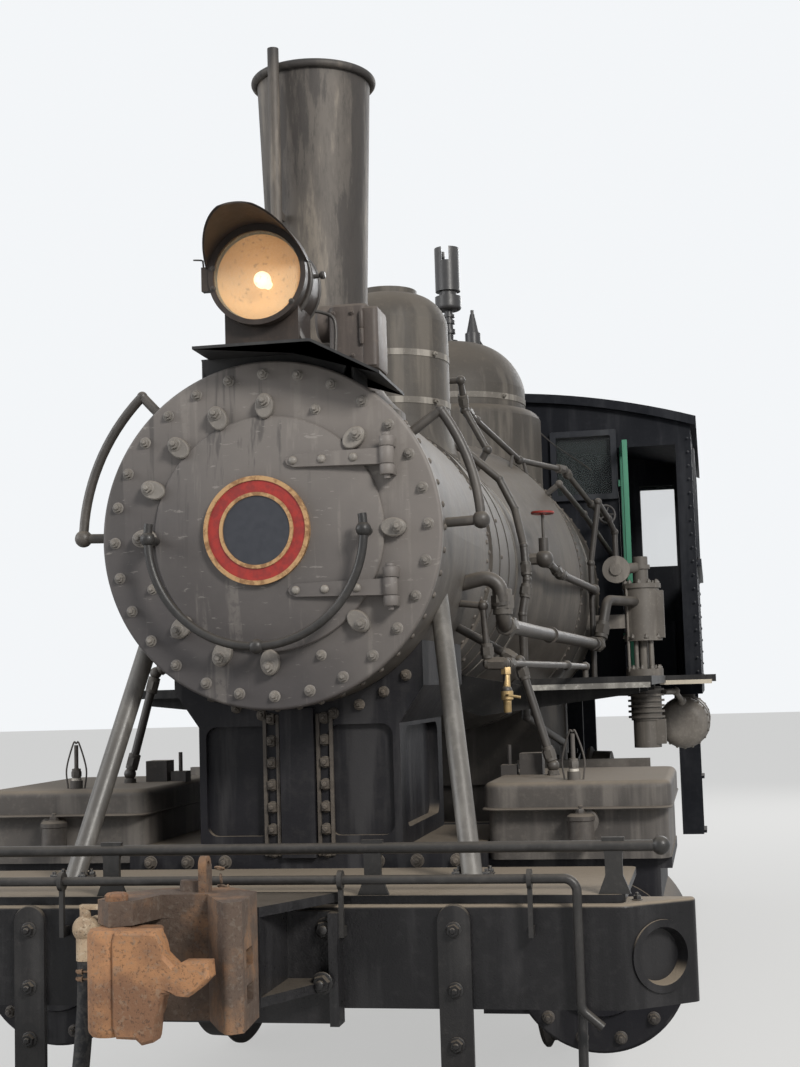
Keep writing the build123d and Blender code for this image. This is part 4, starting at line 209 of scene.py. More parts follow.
class Finish(Shading):
    """One material, built from the shader outwards."""

    def __init__(self, name):
        self.material = bpy.data.materials.new(name)
        super().__init__(self.material)
        self.shader = self.node("BsdfPrincipled", {}, {})
        self.lit = Wire(self, self.shader.outputs[0])
        self.out = self.node("OutputMaterial", {}, {0: self.lit})
        self.place = self.add("TexCoord", {}, {}, "Object")

    def set(self, **values):
        for key, value in values.items():
            self.join(self.shader.inputs[key.replace("_", " ")], value)

    def axis(self, letter):
        return self.add("SeparateXYZ", {}, {0: self.place}, letter)

    def facing(self, letter):
        return self.add("SeparateXYZ", {}, {0: self.add("NewGeometry", {}, {}, "Normal")}, letter)

    def noise(self, scale, detail=4.0, rough=0.55, stretch=(1, 1, 1), shift=0.0):
        """Fractal noise on object coordinates, drawn out along an axis by a small stretch there."""
        spot = {"Vector": self.place, "Scale": stretch, "Location": (shift, shift, shift)}
        moved = self.add("Mapping", {}, spot)
        sizes = {"Vector": moved, "Scale": scale, "Detail": detail, "Roughness": rough}
        return self.add("TexNoise", {}, sizes)

    def blend(self, share, first, second):
        """Mixes two colours by a share from 0 to 1."""
        return self.add("Mix", {"data_type": "RGBA"}, {0: share, 6: first, 7: second}, 2)

    def bump(self, height, strength, distance):
        return self.add("Bump", {}, {"Height": height, "Strength": strength, "Distance": distance})


# %% [markdown]
# Light is a plain pale sky for the world, one soft lamp in front and to the engine's left, and
# weaker ones on its right and behind. The world shows a pale background to the camera, to gloss and
# to glass, and lights the engine less strongly, so that colours render about as they are written.

# %% World and lamps
SKY_LIGHT = (0.86, 0.90, 0.96)
SKY_SEEN = (0.90, 0.92, 0.94)


def soft_world(light_strength=0.62, seen_strength=1.0):
    """Two skies, mixed by the largest of three marks: a camera, a glossy or a transmission ray."""
    world = bpy.data.worlds.new("pale_sky")
    bpy.context.scene.world = world
    sky = Shading(world)
    seen = sky.ray("Camera").most(sky.ray("Transmission").most(sky.ray("Glossy")))
    lit = sky.add("Background", {}, {"Color": SKY_LIGHT, "Strength": light_strength})
    shown = sky.add("Background", {}, {"Color": SKY_SEEN, "Strength": seen_strength})
    sky.node("OutputWorld", {}, {0: sky.add("MixShader", {}, {0: seen, 1: lit, 2: shown})})


def soft_lamp(name, spot, aim, size, watts, colour=(1.0, 1.0, 1.0)):
    """A round lamp whose own Z points away from its aim."""
    data = bpy.data.lights.new(name, "AREA")
    data.shape = "DISK"
    data.size = size
    data.energy = watts
    data.color = colour
    away = np.array(spot, float) - np.array(aim, float)
    away /= np.linalg.norm(away)
    side = np.cross([0.0, 0.0, 1.0], away)
    side /= np.linalg.norm(side)
    turn = Matrix(np.column_stack([side, np.cross(away, side), away]).tolist()).to_4x4()
    linked(name, data).matrix_world = Matrix.Translation(spot) @ turn


soft_world()
soft_lamp("key_lamp", (7.5, -11.0, 8.0), (0, -1.5, 1.8), 3.0, 1500, (1.0, 0.97, 0.92))
soft_lamp("fill_lamp", (-9.0, -6.0, 5.0), (0, -1.0, 1.5), 6.0, 420)
soft_lamp("back_lamp", (4.0, 12.0, 7.0), (0, 2.0, 2.0), 6.0, 500)

# %% [markdown]
# Old engine paint is never one grey. It is brushed on over cast and rolled steel, it weathers
# brown where dust settles, streaks where water runs, and goes glossy where oil is wiped over it.
# One recipe gives all of these, and each finish below sets how much of each it has.

# %% Paint recipe
DUST = (0.20, 0.165, 0.125)


def paint(
    name, colour, worn, gloss=0.5, dust=0.35, streaks=0.3, lumps=0.25, grain=26.0, metal=0.0, shine=0.35
):
    """Base colour varied by broad noise, worn by fine noise, streaked downwards and dusted on top.

    The share of the worn colour is noise above a threshold; a streak is noise squeezed along Z."""
    f = Finish(name)
    broad = f.noise(1.7, 5.0, 0.6)
    fine = f.noise(grain, 6.0, 0.65, shift=3.1)
    drips = f.noise(9.0, 4.0, 0.6, stretch=(1.0, 1.0, 0.10), shift=7.7)
    base = f.blend((broad - 0.32) * 1.6, colour, worn)
    spots = (fine * 0.6 + broad * 0.4).above(0.56, 0.10)
    base = f.blend(spots * 0.45, base, worn)
    steep = 1 - f.facing("Z").size()
    run = drips.above(0.56, 0.16) * steep * streaks
    base = f.blend(run, base, tuple(min(1.0, 1.5 * c + 0.02) for c in worn))
    settled = (f.facing("Z").above(0.55, 0.7) * (0.45 + 0.55 * fine) * dust).capped()
    base = f.blend(settled, base, DUST)
    rough = (1.0 - gloss) + (fine - 0.5) * 0.25 + settled * 0.4 + run * 0.15
    height = fine * 0.5 + f.noise(grain * 4.5, 3.0, 0.6) * 0.35 + broad * 0.4
    f.set(Base_Color=base, Roughness=rough.capped(), Metallic=metal, Specular_IOR_Level=shine)
    f.set(Normal=f.bump(height, lumps, 0.0035))
    return f


# %% [markdown]
# Each row below is one paint: the solids it is on, its fresh and its worn colour, and then how much
# gloss, dust, streaks, lumps, grain, metal and shine it has. The boiler is warm graphite, the frame
# and the beam nearly black, and the beam's top carries the most dust.

# %% Finishes of the engine's sheet metal and castings
def keep(finish, *names):
    """Gives a finish to whole solids."""
    for name in names:
        mesh = nodes[name].data
        mesh.materials.clear()
        mesh.materials.append(finish.material)
        mesh.polygons.foreach_set("material_index", [0] * len(mesh.polygons))


def starting(*starts):
    return [name for name in nodes if name.startswith(starts)]


FRAME_NODES = ("frame_left", "frame_right", "frame_ties", "springs", "running_boards")
CAB_NODES = ("cab_front", "cab_sides", "cab_rear", "cab_roof", "cab_floor")
PAINTS = {
    "graphite_shell": ((0.046, 0.040, 0.035), (0.095, 0.083, 0.070), 0.42, 0.45, 0.4, 0.30),
    "pipe_paint": ((0.026, 0.023, 0.021), (0.080, 0.070, 0.060), 0.55, 0.45, 0.3, 0.25, 50.0, 0.0, 0.45),
    "valve_paint": ((0.022, 0.022, 0.024), (0.062, 0.058, 0.054), 0.60, 0.3, 0.2, 0.2, 60.0, 0.0, 0.45),
    "dome_paint": ((0.040, 0.035, 0.030), (0.092, 0.080, 0.066), 0.42, 0.40, 0.55, 0.40, 34.0),
    "handrail_paint": ((0.012, 0.012, 0.012), (0.038, 0.035, 0.033), 0.60, 0.20, 0.2, 0.2, 60.0),
    "frame_paint": ((0.012, 0.012, 0.013), (0.034, 0.032, 0.030), 0.50, 0.5, 0.3, 0.35, 26.0, 0.0, 0.22),
    "brace_paint": ((0.050, 0.046, 0.042), (0.130, 0.122, 0.110), 0.60, 0.2, 0.5, 0.35, 40.0, 0.0, 0.5),
    "beam_paint": ((0.008, 0.008, 0.009), (0.024, 0.023, 0.024), 0.70, 0.5, 0.25, 0.8, 34.0, 0.0, 0.28),
    "beam_top_dust": ((0.006, 0.006, 0.007), (0.020, 0.019, 0.020), 0.68, 1.9, 0.25, 0.8, 34.0, 0.0, 0.24),
    "cylinder_paint": ((0.007, 0.007, 0.010), (0.024, 0.023, 0.024), 0.50, 0.9, 0.5, 0.4, 26.0, 0.0, 0.20),
    "chest_black": ((0.044, 0.040, 0.038), (0.110, 0.098, 0.086), 0.45, 0.95, 0.5, 0.4, 40.0),
    "lamp_paint": ((0.020, 0.017, 0.016), (0.050, 0.036, 0.028), 0.55, 0.3, 0.2, 0.2, 50.0, 0.0, 0.25),
    "cab_paint": ((0.005, 0.006, 0.009), (0.020, 0.021, 0.025), 0.45, 0.3, 0.3, 0.15, 26.0, 0.0, 0.10),
    "door_green": ((0.020, 0.150, 0.085), (0.045, 0.190, 0.115), 0.55, 0.15, 0.2, 0.15),
    "fitting_paint": ((0.075, 0.067, 0.060), (0.150, 0.132, 0.112), 0.50, 0.4, 0.35, 0.4, 50.0),
    "wheel_paint": ((0.030, 0.028, 0.027), (0.070, 0.060, 0.050), 0.45, 0.4, 0.3, 0.4),
    "rod_steel": ((0.10, 0.092, 0.084), (0.20, 0.18, 0.16), 0.60, 0.3, 0.2, 0.2, 40.0, 0.7),
}
PAINTED = {
    "graphite_shell": ("smokebox", "boiler"),
    "pipe_paint": ("boiler_pipes",),
    "valve_paint": ("safety_valves",),
    "dome_paint": ("sand_dome", "steam_dome"),
    "handrail_paint": ("door_handrail", "front_rails"),
    "frame_paint": FRAME_NODES,
    "brace_paint": ("smokebox_braces",),
    "beam_paint": ("draft_casting",),
    "beam_top_dust": ("bumper_beam", "front_deck"),
    "cylinder_paint": ("cylinder_left", "cylinder_right"),
    "chest_black": ("steam_chest_left", "steam_chest_right"),
    "lamp_paint": ("headlight",),
    "cab_paint": CAB_NODES,
    "door_green": ("cab_door_left", "cab_door_right"),
    "fitting_paint": ("hose_coupling",),
    "wheel_paint": starting("wheel_", "axle_"),
    "rod_steel": starting("side_rod", "main_rod", "crosshead"),
}
for name, recipe in PAINTS.items():
    keep(paint(name, *recipe), *PAINTED[name])

# %% [markdown]
# The stack is bare rolled sheet that heat has burnt grey-brown. Water has left long vertical
# stains with crackled edges, dark between pale, so two stretched noises are set against each other.

# %% Stack finish
SOOT_FROM = 4.0


def stack_finish():
    """Dark and pale stains from noise drawn out along Z, veins where the cracks' noise is near 0.5.

    A vein is 1 - 16 |cracks - 0.5|, never below 0; the top above SOOT_FROM is sooty."""
    f = Finish("stack_burnt")
    stains = f.noise(7.0, 8.0, 0.62, stretch=(1.0, 1.0, 0.16))
    cracks = f.noise(19.0, 9.0, 0.72, stretch=(1.0, 1.0, 0.22), shift=4.0)
    broad = f.noise(2.2, 3.0)
    base = f.blend(broad, (0.060, 0.053, 0.047), (0.100, 0.086, 0.073))
    dark = stains.above(0.53, 0.05) * 0.88
    base = f.blend(dark, base, (0.036, 0.031, 0.028))
    pale = stains.below(0.42, 0.08) * cracks.above(0.44, 0.2)
    base = f.blend(pale * 0.55, base, (0.210, 0.180, 0.145))
    vein = (1 - (cracks - 0.5).size() * 16.0).capped() * stains.above(0.48, 0.12)
    base = f.blend(vein * 0.55, base, (0.030, 0.026, 0.024))
    sooty = f.axis("Z").above(SOOT_FROM, 0.12)
    base = f.blend(sooty * 0.8, base, (0.022, 0.021, 0.021))
    f.set(Base_Color=base, Roughness=(0.50 + stains * 0.25), Metallic=0.25)
    f.set(Normal=f.bump(cracks * 0.6 + stains * 0.5, 0.35, 0.003))
    return f


keep(stack_finish(), "smokestack")

# %% [markdown]
# The coupler is bare cast steel. Orange rust covers the knuckle, with dark worn faces where it
# meets another coupler and grey-brown on the lugs, and its surface is pitted.

# %% Rusty castings
def rusty(name, bright, deep, worn, share=0.5):
    """Bright rust where broad noise is above share, worn by fine noise, with small dark pits."""
    f = Finish(name)
    broad = f.noise(6.0, 6.0, 0.6)
    fine = f.noise(55.0, 7.0, 0.7, shift=2.0)
    pits = f.noise(130.0, 3.0, 0.6, shift=5.0)
    base = f.blend((broad - share + 0.5).above(0.5, 0.22), deep, bright)
    base = f.blend(fine.above(0.57, 0.12) * 0.7, base, worn)
    base = f.blend(pits.below(0.40, 0.08) * 0.5, base, (0.035, 0.020, 0.014))
    f.set(Base_Color=base, Roughness=(0.62 + fine * 0.3).capped(), Metallic=0.15)
    f.set(Normal=f.bump(fine * 0.6 + pits * 0.5 + broad * 0.4, 0.6, 0.004))
    return f


knuckle_rust = rusty("knuckle_rust", (0.33, 0.165, 0.075), (0.17, 0.085, 0.045), (0.22, 0.15, 0.10))
head_rust = rusty("coupler_rust", (0.21, 0.115, 0.060), (0.075, 0.050, 0.036), (0.12, 0.095, 0.075), 0.56)
dull_brass = rusty("cock_brass", (0.40, 0.30, 0.20), (0.24, 0.17, 0.11), (0.46, 0.38, 0.28), 0.45)
keep(knuckle_rust, "coupler_knuckle")
keep(head_rust, "coupler_head")
keep(dull_brass, "angle_cock")

# %% [markdown]
# Panes are thin and smooth, and only a small share of the light stops at them. The headlight's
# lens is warmer than the cab's windows.

# %% Glass
def glass(name, tint, rough, alpha):
    """A clear pane: the share alpha of its colour hides what is behind it."""
    f = Finish(name)
    f.set(Base_Color=tint, Roughness=rough, Alpha=alpha, IOR=1.45, Specular_IOR_Level=0.5)
    return f


panes = ("cab_windows", "cab_door_pane_left", "cab_door_pane_right")
keep(glass("window_glass", (0.10, 0.12, 0.12), 0.03, 0.16), *panes)
keep(glass("lamp_glass", (0.95, 0.80, 0.55), 0.05, 0.18), "headlight_glass")

# %% [markdown]
# Nuts, rims and pipes are shapes of revolution, or a small outline carried along a line. Each is
# worked out here as whole arrays: one ring of points for each step, and quads between the rings.
# A small shape made once can then stand at many places, turned to face outwards at each.

# %% Surfaces from rings of points
def capped(rings):
    """Quads between rings, shaped steps x around x 3, and a fan to a middle point at each end."""
    steps, around = rings.shape[:2]
    middles = np.stack([rings[0].mean(0), rings[-1].mean(0)])
    points = np.vstack([rings.reshape(-1, 3), middles])
    quads = between(steps, around)
    turn = np.arange(around)
    after = (turn + 1) % around
    last = (steps - 1) * around
    low = np.stack([after, turn, np.full(around, steps * around)], -1)
    high = np.stack([last + turn, last + after, np.full(around, steps * around + 1)], -1)
    return points, quads, np.vstack([low, high])


def between(steps, around, closed=False):
    """Quads from each ring to the next, and from the last to the first where closed."""
    count = steps if closed else steps - 1
    step, turn = np.meshgrid(np.arange(count), np.arange(around), indexing="ij")
    here = step * around + turn
    after = step * around + (turn + 1) % around
    above = ((step + 1) % steps) * around + turn
    above_after = ((step + 1) % steps) * around + (turn + 1) % around
    return np.stack([here, after, above_after, above], -1).reshape(-1, 4)


def revolved(profile, around, start):
    """Rings of points (r cos a, r sin a, h), one ring for each radius r and height h."""
    r, h = np.array(profile, float).T
    a = start + np.linspace(0, 2 * np.pi, around, endpoint=False)
    return np.stack([np.outer(r, np.cos(a)), np.outer(r, np.sin(a)), np.outer(h, a * 0 + 1)], -1)


def turned(profile, around=20, start=0.0):
    """A solid of revolution, its profile given upwards and closed by a flat at each end."""
    return capped(revolved(profile, around, start))


def hoop(section, around=96):
    """A ring: a closed section of radii and heights, given counterclockwise, carried round."""
    rings = revolved(section, around, 0.0)
    return rings.reshape(-1, 3), between(len(rings), around, True), np.zeros((0, 3), int)


def disc_section(r, thick, steps=10):
    """A round section of radius thick around the radius r."""
    a = np.linspace(0, 2 * np.pi, steps, endpoint=False)
    return np.stack([r + thick * np.cos(a), thick * np.sin(a)], -1)


def tube(path, radius, around=10):
    """A circle carried along a path, square to it; the radius may change from point to point."""
    path = np.array(path, float)
    ahead = np.gradient(path, axis=0)
    ahead /= np.linalg.norm(ahead, axis=1, keepdims=True)
    steady = np.linalg.svd(path - path.mean(0))[2][2]
    side = np.cross(ahead, steady)
    side /= np.linalg.norm(side, axis=1, keepdims=True)
    up = np.cross(side, ahead)
    a = np.linspace(0, 2 * np.pi, around, endpoint=False)[None, :, None]
    reach = np.broadcast_to(np.array(radius, float), len(path))[:, None, None]
    ring = np.cos(a) * side[:, None] - np.sin(a) * up[:, None]
    return capped(path[:, None] + reach * ring)


def curved(points, steps=8):
    """A smooth line through points: cubics whose slope at a point is half its neighbours' span."""
    p = np.array(points, float)
    ends = np.vstack([2 * p[0] - p[1], p, 2 * p[-1] - p[-2]])
    slope = (ends[2:] - ends[:-2]) / 2
    t = np.linspace(0, 1, steps, endpoint=False)[:, None, None]
    line = (2 * t**3 - 3 * t**2 + 1) * p[:-1] + (t**3 - 2 * t**2 + t) * slope[:-1]
    line = line + (3 * t**2 - 2 * t**3) * p[1:] + (t**3 - t**2) * slope[1:]
    return np.vstack([line.transpose(1, 0, 2).reshape(-1, 3), p[-1]])


def rounded(wide, high, corner, steps=4):
    """Outline of a rectangle with quarter circles at its corners, counterclockwise."""
    a = (np.linspace(0, np.pi / 2, steps) + np.arange(4)[:, None] * np.pi / 2).ravel()
    way = np.repeat([(1, 1), (-1, 1), (-1, -1), (1, -1)], steps, axis=0)
    middle = way * np.array([wide / 2 - corner, high / 2 - corner])
    return middle + corner * np.stack([np.cos(a), np.sin(a)], -1)


def oval(wide, high, steps=28):
    """Outline (wide/2 cos a, high/2 sin a), counterclockwise."""
    a = np.linspace(0, 2 * np.pi, steps, endpoint=False)
    return np.stack([wide / 2 * np.cos(a), high / 2 * np.sin(a)], -1)


def pad(outline, thick, edge=0.002, low=0.0):
    """An outline raised from low by thick, drawn in by edge at both rims."""
    outline = np.array(outline, float)
    middle = outline.mean(0)
    reach = np.linalg.norm(outline - middle, axis=1, keepdims=True)
    drawn = middle + (outline - middle) * (1 - edge / reach)
    levels = ((drawn, 0), (outline, edge), (outline, thick - edge), (drawn, thick))
    rings = [np.column_stack([flat, np.full(len(flat), low + h)]) for flat, h in levels]
    return capped(np.stack(rings))


def join(*shells):
    """Several shells as one: faces count their points from where their shell's points start."""
    starts = np.cumsum([0] + [len(shell[0]) for shell in shells[:-1]])
    points = np.vstack([shell[0] for shell in shells])
    quads = np.vstack([shell[1] + start for shell, start in zip(shells, starts)])
    tris = np.vstack([shell[2] + start for shell, start in zip(shells, starts)])
    return points, quads, tris


def stand(shell, places, out=(0, -1, 0), up=(0, 0, 1)):
    """One copy of a shell at each place, its own Z turned to out and its own Y towards up."""
    places = np.atleast_2d(np.array(places, float))
    out = np.broadcast_to(np.array(out, float), places.shape)
    out = out / np.linalg.norm(out, axis=1, keepdims=True)
    side = np.cross(np.broadcast_to(np.array(up, float), places.shape), out)
    side /= np.linalg.norm(side, axis=1, keepdims=True)
    turns = np.stack([side, np.cross(out, side), out], 1)
    points, quads, tris = shell
    spread = np.einsum("pi,kij->kpj", points, turns) + places[:, None]
    shift = np.arange(len(places))[:, None, None] * len(points)
    return spread.reshape(-1, 3), (quads + shift).reshape(-1, 4), (tris + shift).reshape(-1, 3)


def upright(shell, *places):
    """A copy of a shell at each place, its own Z upwards and its own Y to the rear."""
    return stand(shell, places, (0, 0, 1), (0, 1, 0))


def piece(name, shell, finish, body="engine", sharp=38.0):
    """Puts a shell into a mesh, which rides on its body; edges sharper than sharp stay crisp."""
    points, quads, tris = shell
    mesh = bpy.data.meshes.new(name)
    mesh.vertices.add(len(points))
    mesh.vertices.foreach_set("co", points.astype(np.float32).ravel())
    corners = np.concatenate([quads.ravel(), tris.ravel()]).astype(np.int32)
    mesh.loops.add(len(corners))
    mesh.loops.foreach_set("vertex_index", corners)
    sizes = np.repeat([4, 3], [len(quads), len(tris)])
    mesh.polygons.add(len(sizes))
    mesh.polygons.foreach_set("loop_start", (np.cumsum(sizes) - sizes).astype(np.int32))
    mesh.update(calc_edges=True)
    mesh.shade_smooth()
    mesh.set_sharp_from_angle(angle=np.radians(sharp))
    mesh.materials.append(finish.material)
    made = linked(name, mesh)
    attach(made, body)
    print(name, len(quads) * 2 + len(tris), "triangles")
    return made


def nut(across, high, sides=6, stud=0.4, washer=0.72):
    """A nut on its washer with the stud's end standing out; all sizes are shares of across."""
    corner = across / 2 / np.cos(np.pi / sides)
    body = [(corner, -0.001), (corner, 0.84 * high), (0.9 * corner, high)]
    parts = [turned(body, sides, np.pi / sides)]
    if washer:
        w = washer * across
        parts.append(turned([(w, -0.001), (w, 0.16 * high), (0.93 * w, 0.22 * high)], 18))
    if stud:
        top = high + stud * across
        parts.append(turned([(0.29 * across, 0), (0.29 * across, top - 0.003), (0.2 * across, top)], 10))
    return join(*parts)


def rivet(r):
    """A low round head: a short arc of a ball."""
    arc = [(0.96 * r, 0.25 * r), (0.78 * r, 0.5 * r), (0.45 * r, 0.68 * r), (0.1 * r, 0.74 * r)]
    return turned([(r, -0.001), *arc], 10)


# %% [markdown]
# The smokebox front is the engine's face: a flat ring bolted all round near its rim, and in it a
# dished door on two strap hinges, held by eccentric dogs under nuts. The solids have the discs;
# these pieces stand for them, with every stud where the photograph has it, and crisp edges.

# %% Front's finish
def front_finish():
    """Warm grey with painted sunlight: paler high up and by the engine's left, painted shade low down,
    with scuffs and drips.

    The share of pale grey, painted light, grows with height and with x on top of broad noise; a drip
    is noise drawn out along Z, kept above a threshold, and fades towards the bottom."""
    f = Finish("front_paint")
    broad = f.noise(2.4, 5.0, 0.6)
    fine = f.noise(38.0, 6.0, 0.7, shift=3.0)
    scuffs = f.noise(60.0, 4.0, 0.6, stretch=(0.25, 1.0, 1.0), shift=9.0)
    drips = f.noise(15.0, 5.0, 0.6, stretch=(1.0, 1.0, 0.055), shift=5.0)
    z = f.axis("Z") - boiler_z
    x = f.axis("X")
    # Painted sunlight and shade: paler high up and towards the engine's left, as if lit from there, and
    # darker low down; the broad noise adds real variation of tone.
    light = (z * 0.85 + x * 0.55 + broad * 0.9 + 0.10).capped()
    base = f.blend(light, (0.052, 0.047, 0.047), (0.142, 0.127, 0.116))
    high = z.above(0.02, 0.5)
    dark_run = drips.above(0.57, 0.07) * high * x.below(0.14, 0.3)
    base = f.blend(dark_run * 0.62, base, (0.040, 0.037, 0.036))
    pale_run = drips.below(0.40, 0.08) * fine.above(0.42, 0.2)
    base = f.blend(pale_run * 0.30, base, (0.215, 0.195, 0.175))
    base = f.blend(scuffs.above(0.66, 0.06) * 0.40, base, (0.26, 0.24, 0.22))
    f.set(Base_Color=base, Roughness=(0.46 + fine * 0.22 + dark_run * 0.1), Specular_IOR_Level=0.38)
    f.set(Normal=f.bump(fine * 0.5 + broad * 0.4 + scuffs * 0.2, 0.22, 0.0035))
    return f


# %% Smokebox ring and door
RING_BOLTS = 28
BOLT_CIRCLE = 0.553
STUD_CIRCLE = 0.454
DOOR_R = 0.405
HINGE_X = 0.428
HINGE_OUT = 0.052
HINGE_HEIGHTS = (boiler_z + 0.240, boiler_z - 0.200)
front_paint = front_finish()
bolt_paint = paint("bolt_paint", (0.115, 0.105, 0.096), (0.235, 0.215, 0.190), 0.56, 0.5, 0.2, 0.25, 90.0)


def around_front(radius, degrees, out=0.0):
    """Places on the front, at angles counted up from the engine's left side, out from its face."""
    a = np.radians(np.array(degrees, float))
    return np.stack([radius * np.cos(a), a * 0 + FACE_Y - out, boiler_z + radius * np.sin(a)], -1)


def on_face(shell):
    """Stands a shape made round the middle of the front, its height counted out from the face."""
    return stand(shell, [(0, FACE_Y, boiler_z)], (0, -1, 0), (0, 0, 1))


edge = np.radians(np.linspace(0, 90, 6))
rim = np.stack([0.588 + 0.012 * np.cos(edge), -0.012 + 0.012 * np.sin(edge)], -1)
ring_section = np.vstack([[(0.386, -0.0335), (0.599, -0.0335)], rim, [(0.388, 0.0), (0.386, -0.002)]])
ring_shell = hoop(ring_section, 180)


def hinge_barrel(length):
    """A hinge's barrel with both rims drawn in a little."""
    return turned([(0.023, 0), (0.0245, 0.002), (0.0245, length - 0.002), (0.023, length)], 28)


ears = []
for hinge_z in HINGE_HEIGHTS:
    hinge = np.array([HINGE_X, FACE_Y - HINGE_OUT, hinge_z])
    for low in (0.031, -0.065):
        ears.append(upright(hinge_barrel(0.034), hinge + (0, 0, low)))
        web = pad(rounded(0.024, 0.054, 0.004), 0.034, 0.003)
        ears.append(upright(web, (HINGE_X + 0.011, FACE_Y - 0.0265, hinge_z + low)))
    pin = turned([(0.0105, 0), (0.0105, 0.152), (0.008, 0.155)], 16)
    head = turned([(0.015, 0), (0.016, 0.004), (0.014, 0.010)], 16)
    ears.append(upright(pin, hinge - (0, 0, 0.078)))
    ears.append(upright(head, hinge + (0, 0, 0.0655)))
ring = piece("smokebox_ring", join(on_face(ring_shell), *ears), front_paint)
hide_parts("smokebox_front")
bolt_angles = 90.9 + np.arange(RING_BOLTS) * 360 / RING_BOLTS
ring_nuts = stand(nut(0.028, 0.015), around_front(BOLT_CIRCLE, bolt_angles), up=(0.3, 0, 1))
bare_places = around_front(STUD_CIRCLE, [67.5, 202.5, 292.5])
bare_nuts = stand(nut(0.026, 0.014, stud=0.5), bare_places, up=(0.1, 0, 1))
piece("ring_bolts", join(ring_nuts, bare_nuts), bolt_paint)

crown_r = np.linspace(0.401, 0.120, 14)
crown = np.stack([crown_r, 0.016 + 0.026 * (1 - ((crown_r - 0.12) / 0.285) ** 1.86)], -1)
door_edge = [(0.02, 0.0005), (0.403, 0.0005), (DOOR_R, 0.003), (DOOR_R, 0.012)]
door_profile = np.vstack([door_edge, crown, [(0.02, 0.042)]])
door_shells = [on_face(turned(door_profile, 180))]
for hinge_z in HINGE_HEIGHTS:
    tip, root = HINGE_X - 0.355, HINGE_X - 0.006
    strap = [(root, -0.028), (root, 0.028), (tip + 0.03, 0.023), (tip + 0.008, 0.014), (tip, 0.0)]
    strap += [(tip + 0.008, -0.014), (tip + 0.03, -0.023)]
    door_shells.append(stand(pad(strap, 0.036, 0.003, 0.014), [(0, FACE_Y, hinge_z)]))
    door_shells.append(upright(hinge_barrel(0.058), (HINGE_X, FACE_Y - HINGE_OUT, hinge_z - 0.029)))
door = piece("smokebox_door_leaf", join(*door_shells), front_paint, "smokebox_leaf")
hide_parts("smokebox_door")

dog_angles = np.array([0, 45, 90, 112.5, 135, 157.5, 180, 225, 247.5, 270, 315])
dog_out = around_front(1.0, dog_angles) - (0, FACE_Y, boiler_z)
dogs = stand(pad(oval(0.064, 0.088), 0.032, 0.004), around_front(0.438, dog_angles), (0, -1, 0), dog_out)
dog_nuts = stand(nut(0.032, 0.018), around_front(STUD_CIRCLE, dog_angles, 0.032), (0, -1, 0), dog_out)
strap_rivets = [(HINGE_X - back, FACE_Y - 0.050, z) for back in (0.325, 0.225, 0.115) for z in HINGE_HEIGHTS]
dog_shells = join(dogs, dog_nuts, stand(rivet(0.015), strap_rivets))
piece("door_dogs", dog_shells, bolt_paint, "smokebox_leaf")

# %% [markdown]
# The round plate in the middle of the door is cast: raised gilded rims with a red band between
# them and a blue-black middle, left blank. The colours follow the distance from its middle, so the
# solid's own raised rims take the gold.

# %% Plate
PLATE_X = -0.028


def plate_finish():
    """Distance from the plate's middle decides the colour: gold on the two rims, red between."""
    f = Finish("plate_enamel")
    x = f.axis("X") - PLATE_X
    z = f.axis("Z") - (boiler_z + 0.008)
    reach = (x * x + z * z).root()
    grime = f.noise(40.0, 5.0, 0.6)
    red = f.blend(grime.above(0.5, 0.3), (0.27, 0.018, 0.012), (0.18, 0.014, 0.011))
    gold = f.blend(grime.above(0.52, 0.2), (0.44, 0.27, 0.13), (0.24, 0.13, 0.06))
    middle = f.blend(grime, (0.012, 0.014, 0.020), (0.030, 0.032, 0.040))
    gilt = reach.between(0.1175, 0.1305, 0.002).most(reach.above(0.1705, 0.002))
    base = f.blend(reach.above(0.124, 0.002), middle, red)
    base = f.blend(gilt, base, gold)
    f.set(Base_Color=base, Roughness=0.34 + grime * 0.25, Metallic=gilt * 0.5)
    f.set(Normal=f.bump(grime, 0.15, 0.001))
    return f


keep(plate_finish(), "number_plate")

# %% [markdown]
# Behind the headlight's glass a bright bowl gathers the light of a small bulb, which is lit. The
# bowl's brightness is a painted reflection: it gives off warm light of its own, brightest towards
# its middle. The bowl is a thin shell whose depth grows with the square of its radius, as a burning
# mirror's does.

# %% Headlight bowl, bulb, rim and its fittings
LAMP = np.array([0.004, -3.200, rail_to_z(2.967)])
bowl_r = np.linspace(0.149, 0.012, 20)
bowl = np.stack([bowl_r, -0.150 + 0.118 * (bowl_r / 0.149) ** 2], -1)
shell_profile = np.vstack([(bowl + (0.0, -0.004))[::-1], bowl])


def lamp_glow(name, colour, edge_colour, strength):
    """Warm light given off by the surface, brighter towards the lamp's own middle.

    On the bulb it is the lamp's own light; on the bowl it is a painted reflection of the bulb.
    """
    f = Finish(name)
    x = f.axis("X") - LAMP[0]
    z = f.axis("Z") - LAMP[2]
    reach = (x * x + z * z).root() / 0.15
    spots = f.noise(70.0, 3.0, 0.5).below(0.36, 0.05)
    base = f.blend((reach * 0.9).capped(), colour, edge_colour)
    base = f.blend(spots * 0.5, base, (0.16, 0.085, 0.035))
    f.set(Base_Color=base, Roughness=0.35, Emission_Color=base, Emission_Strength=strength)
    return f


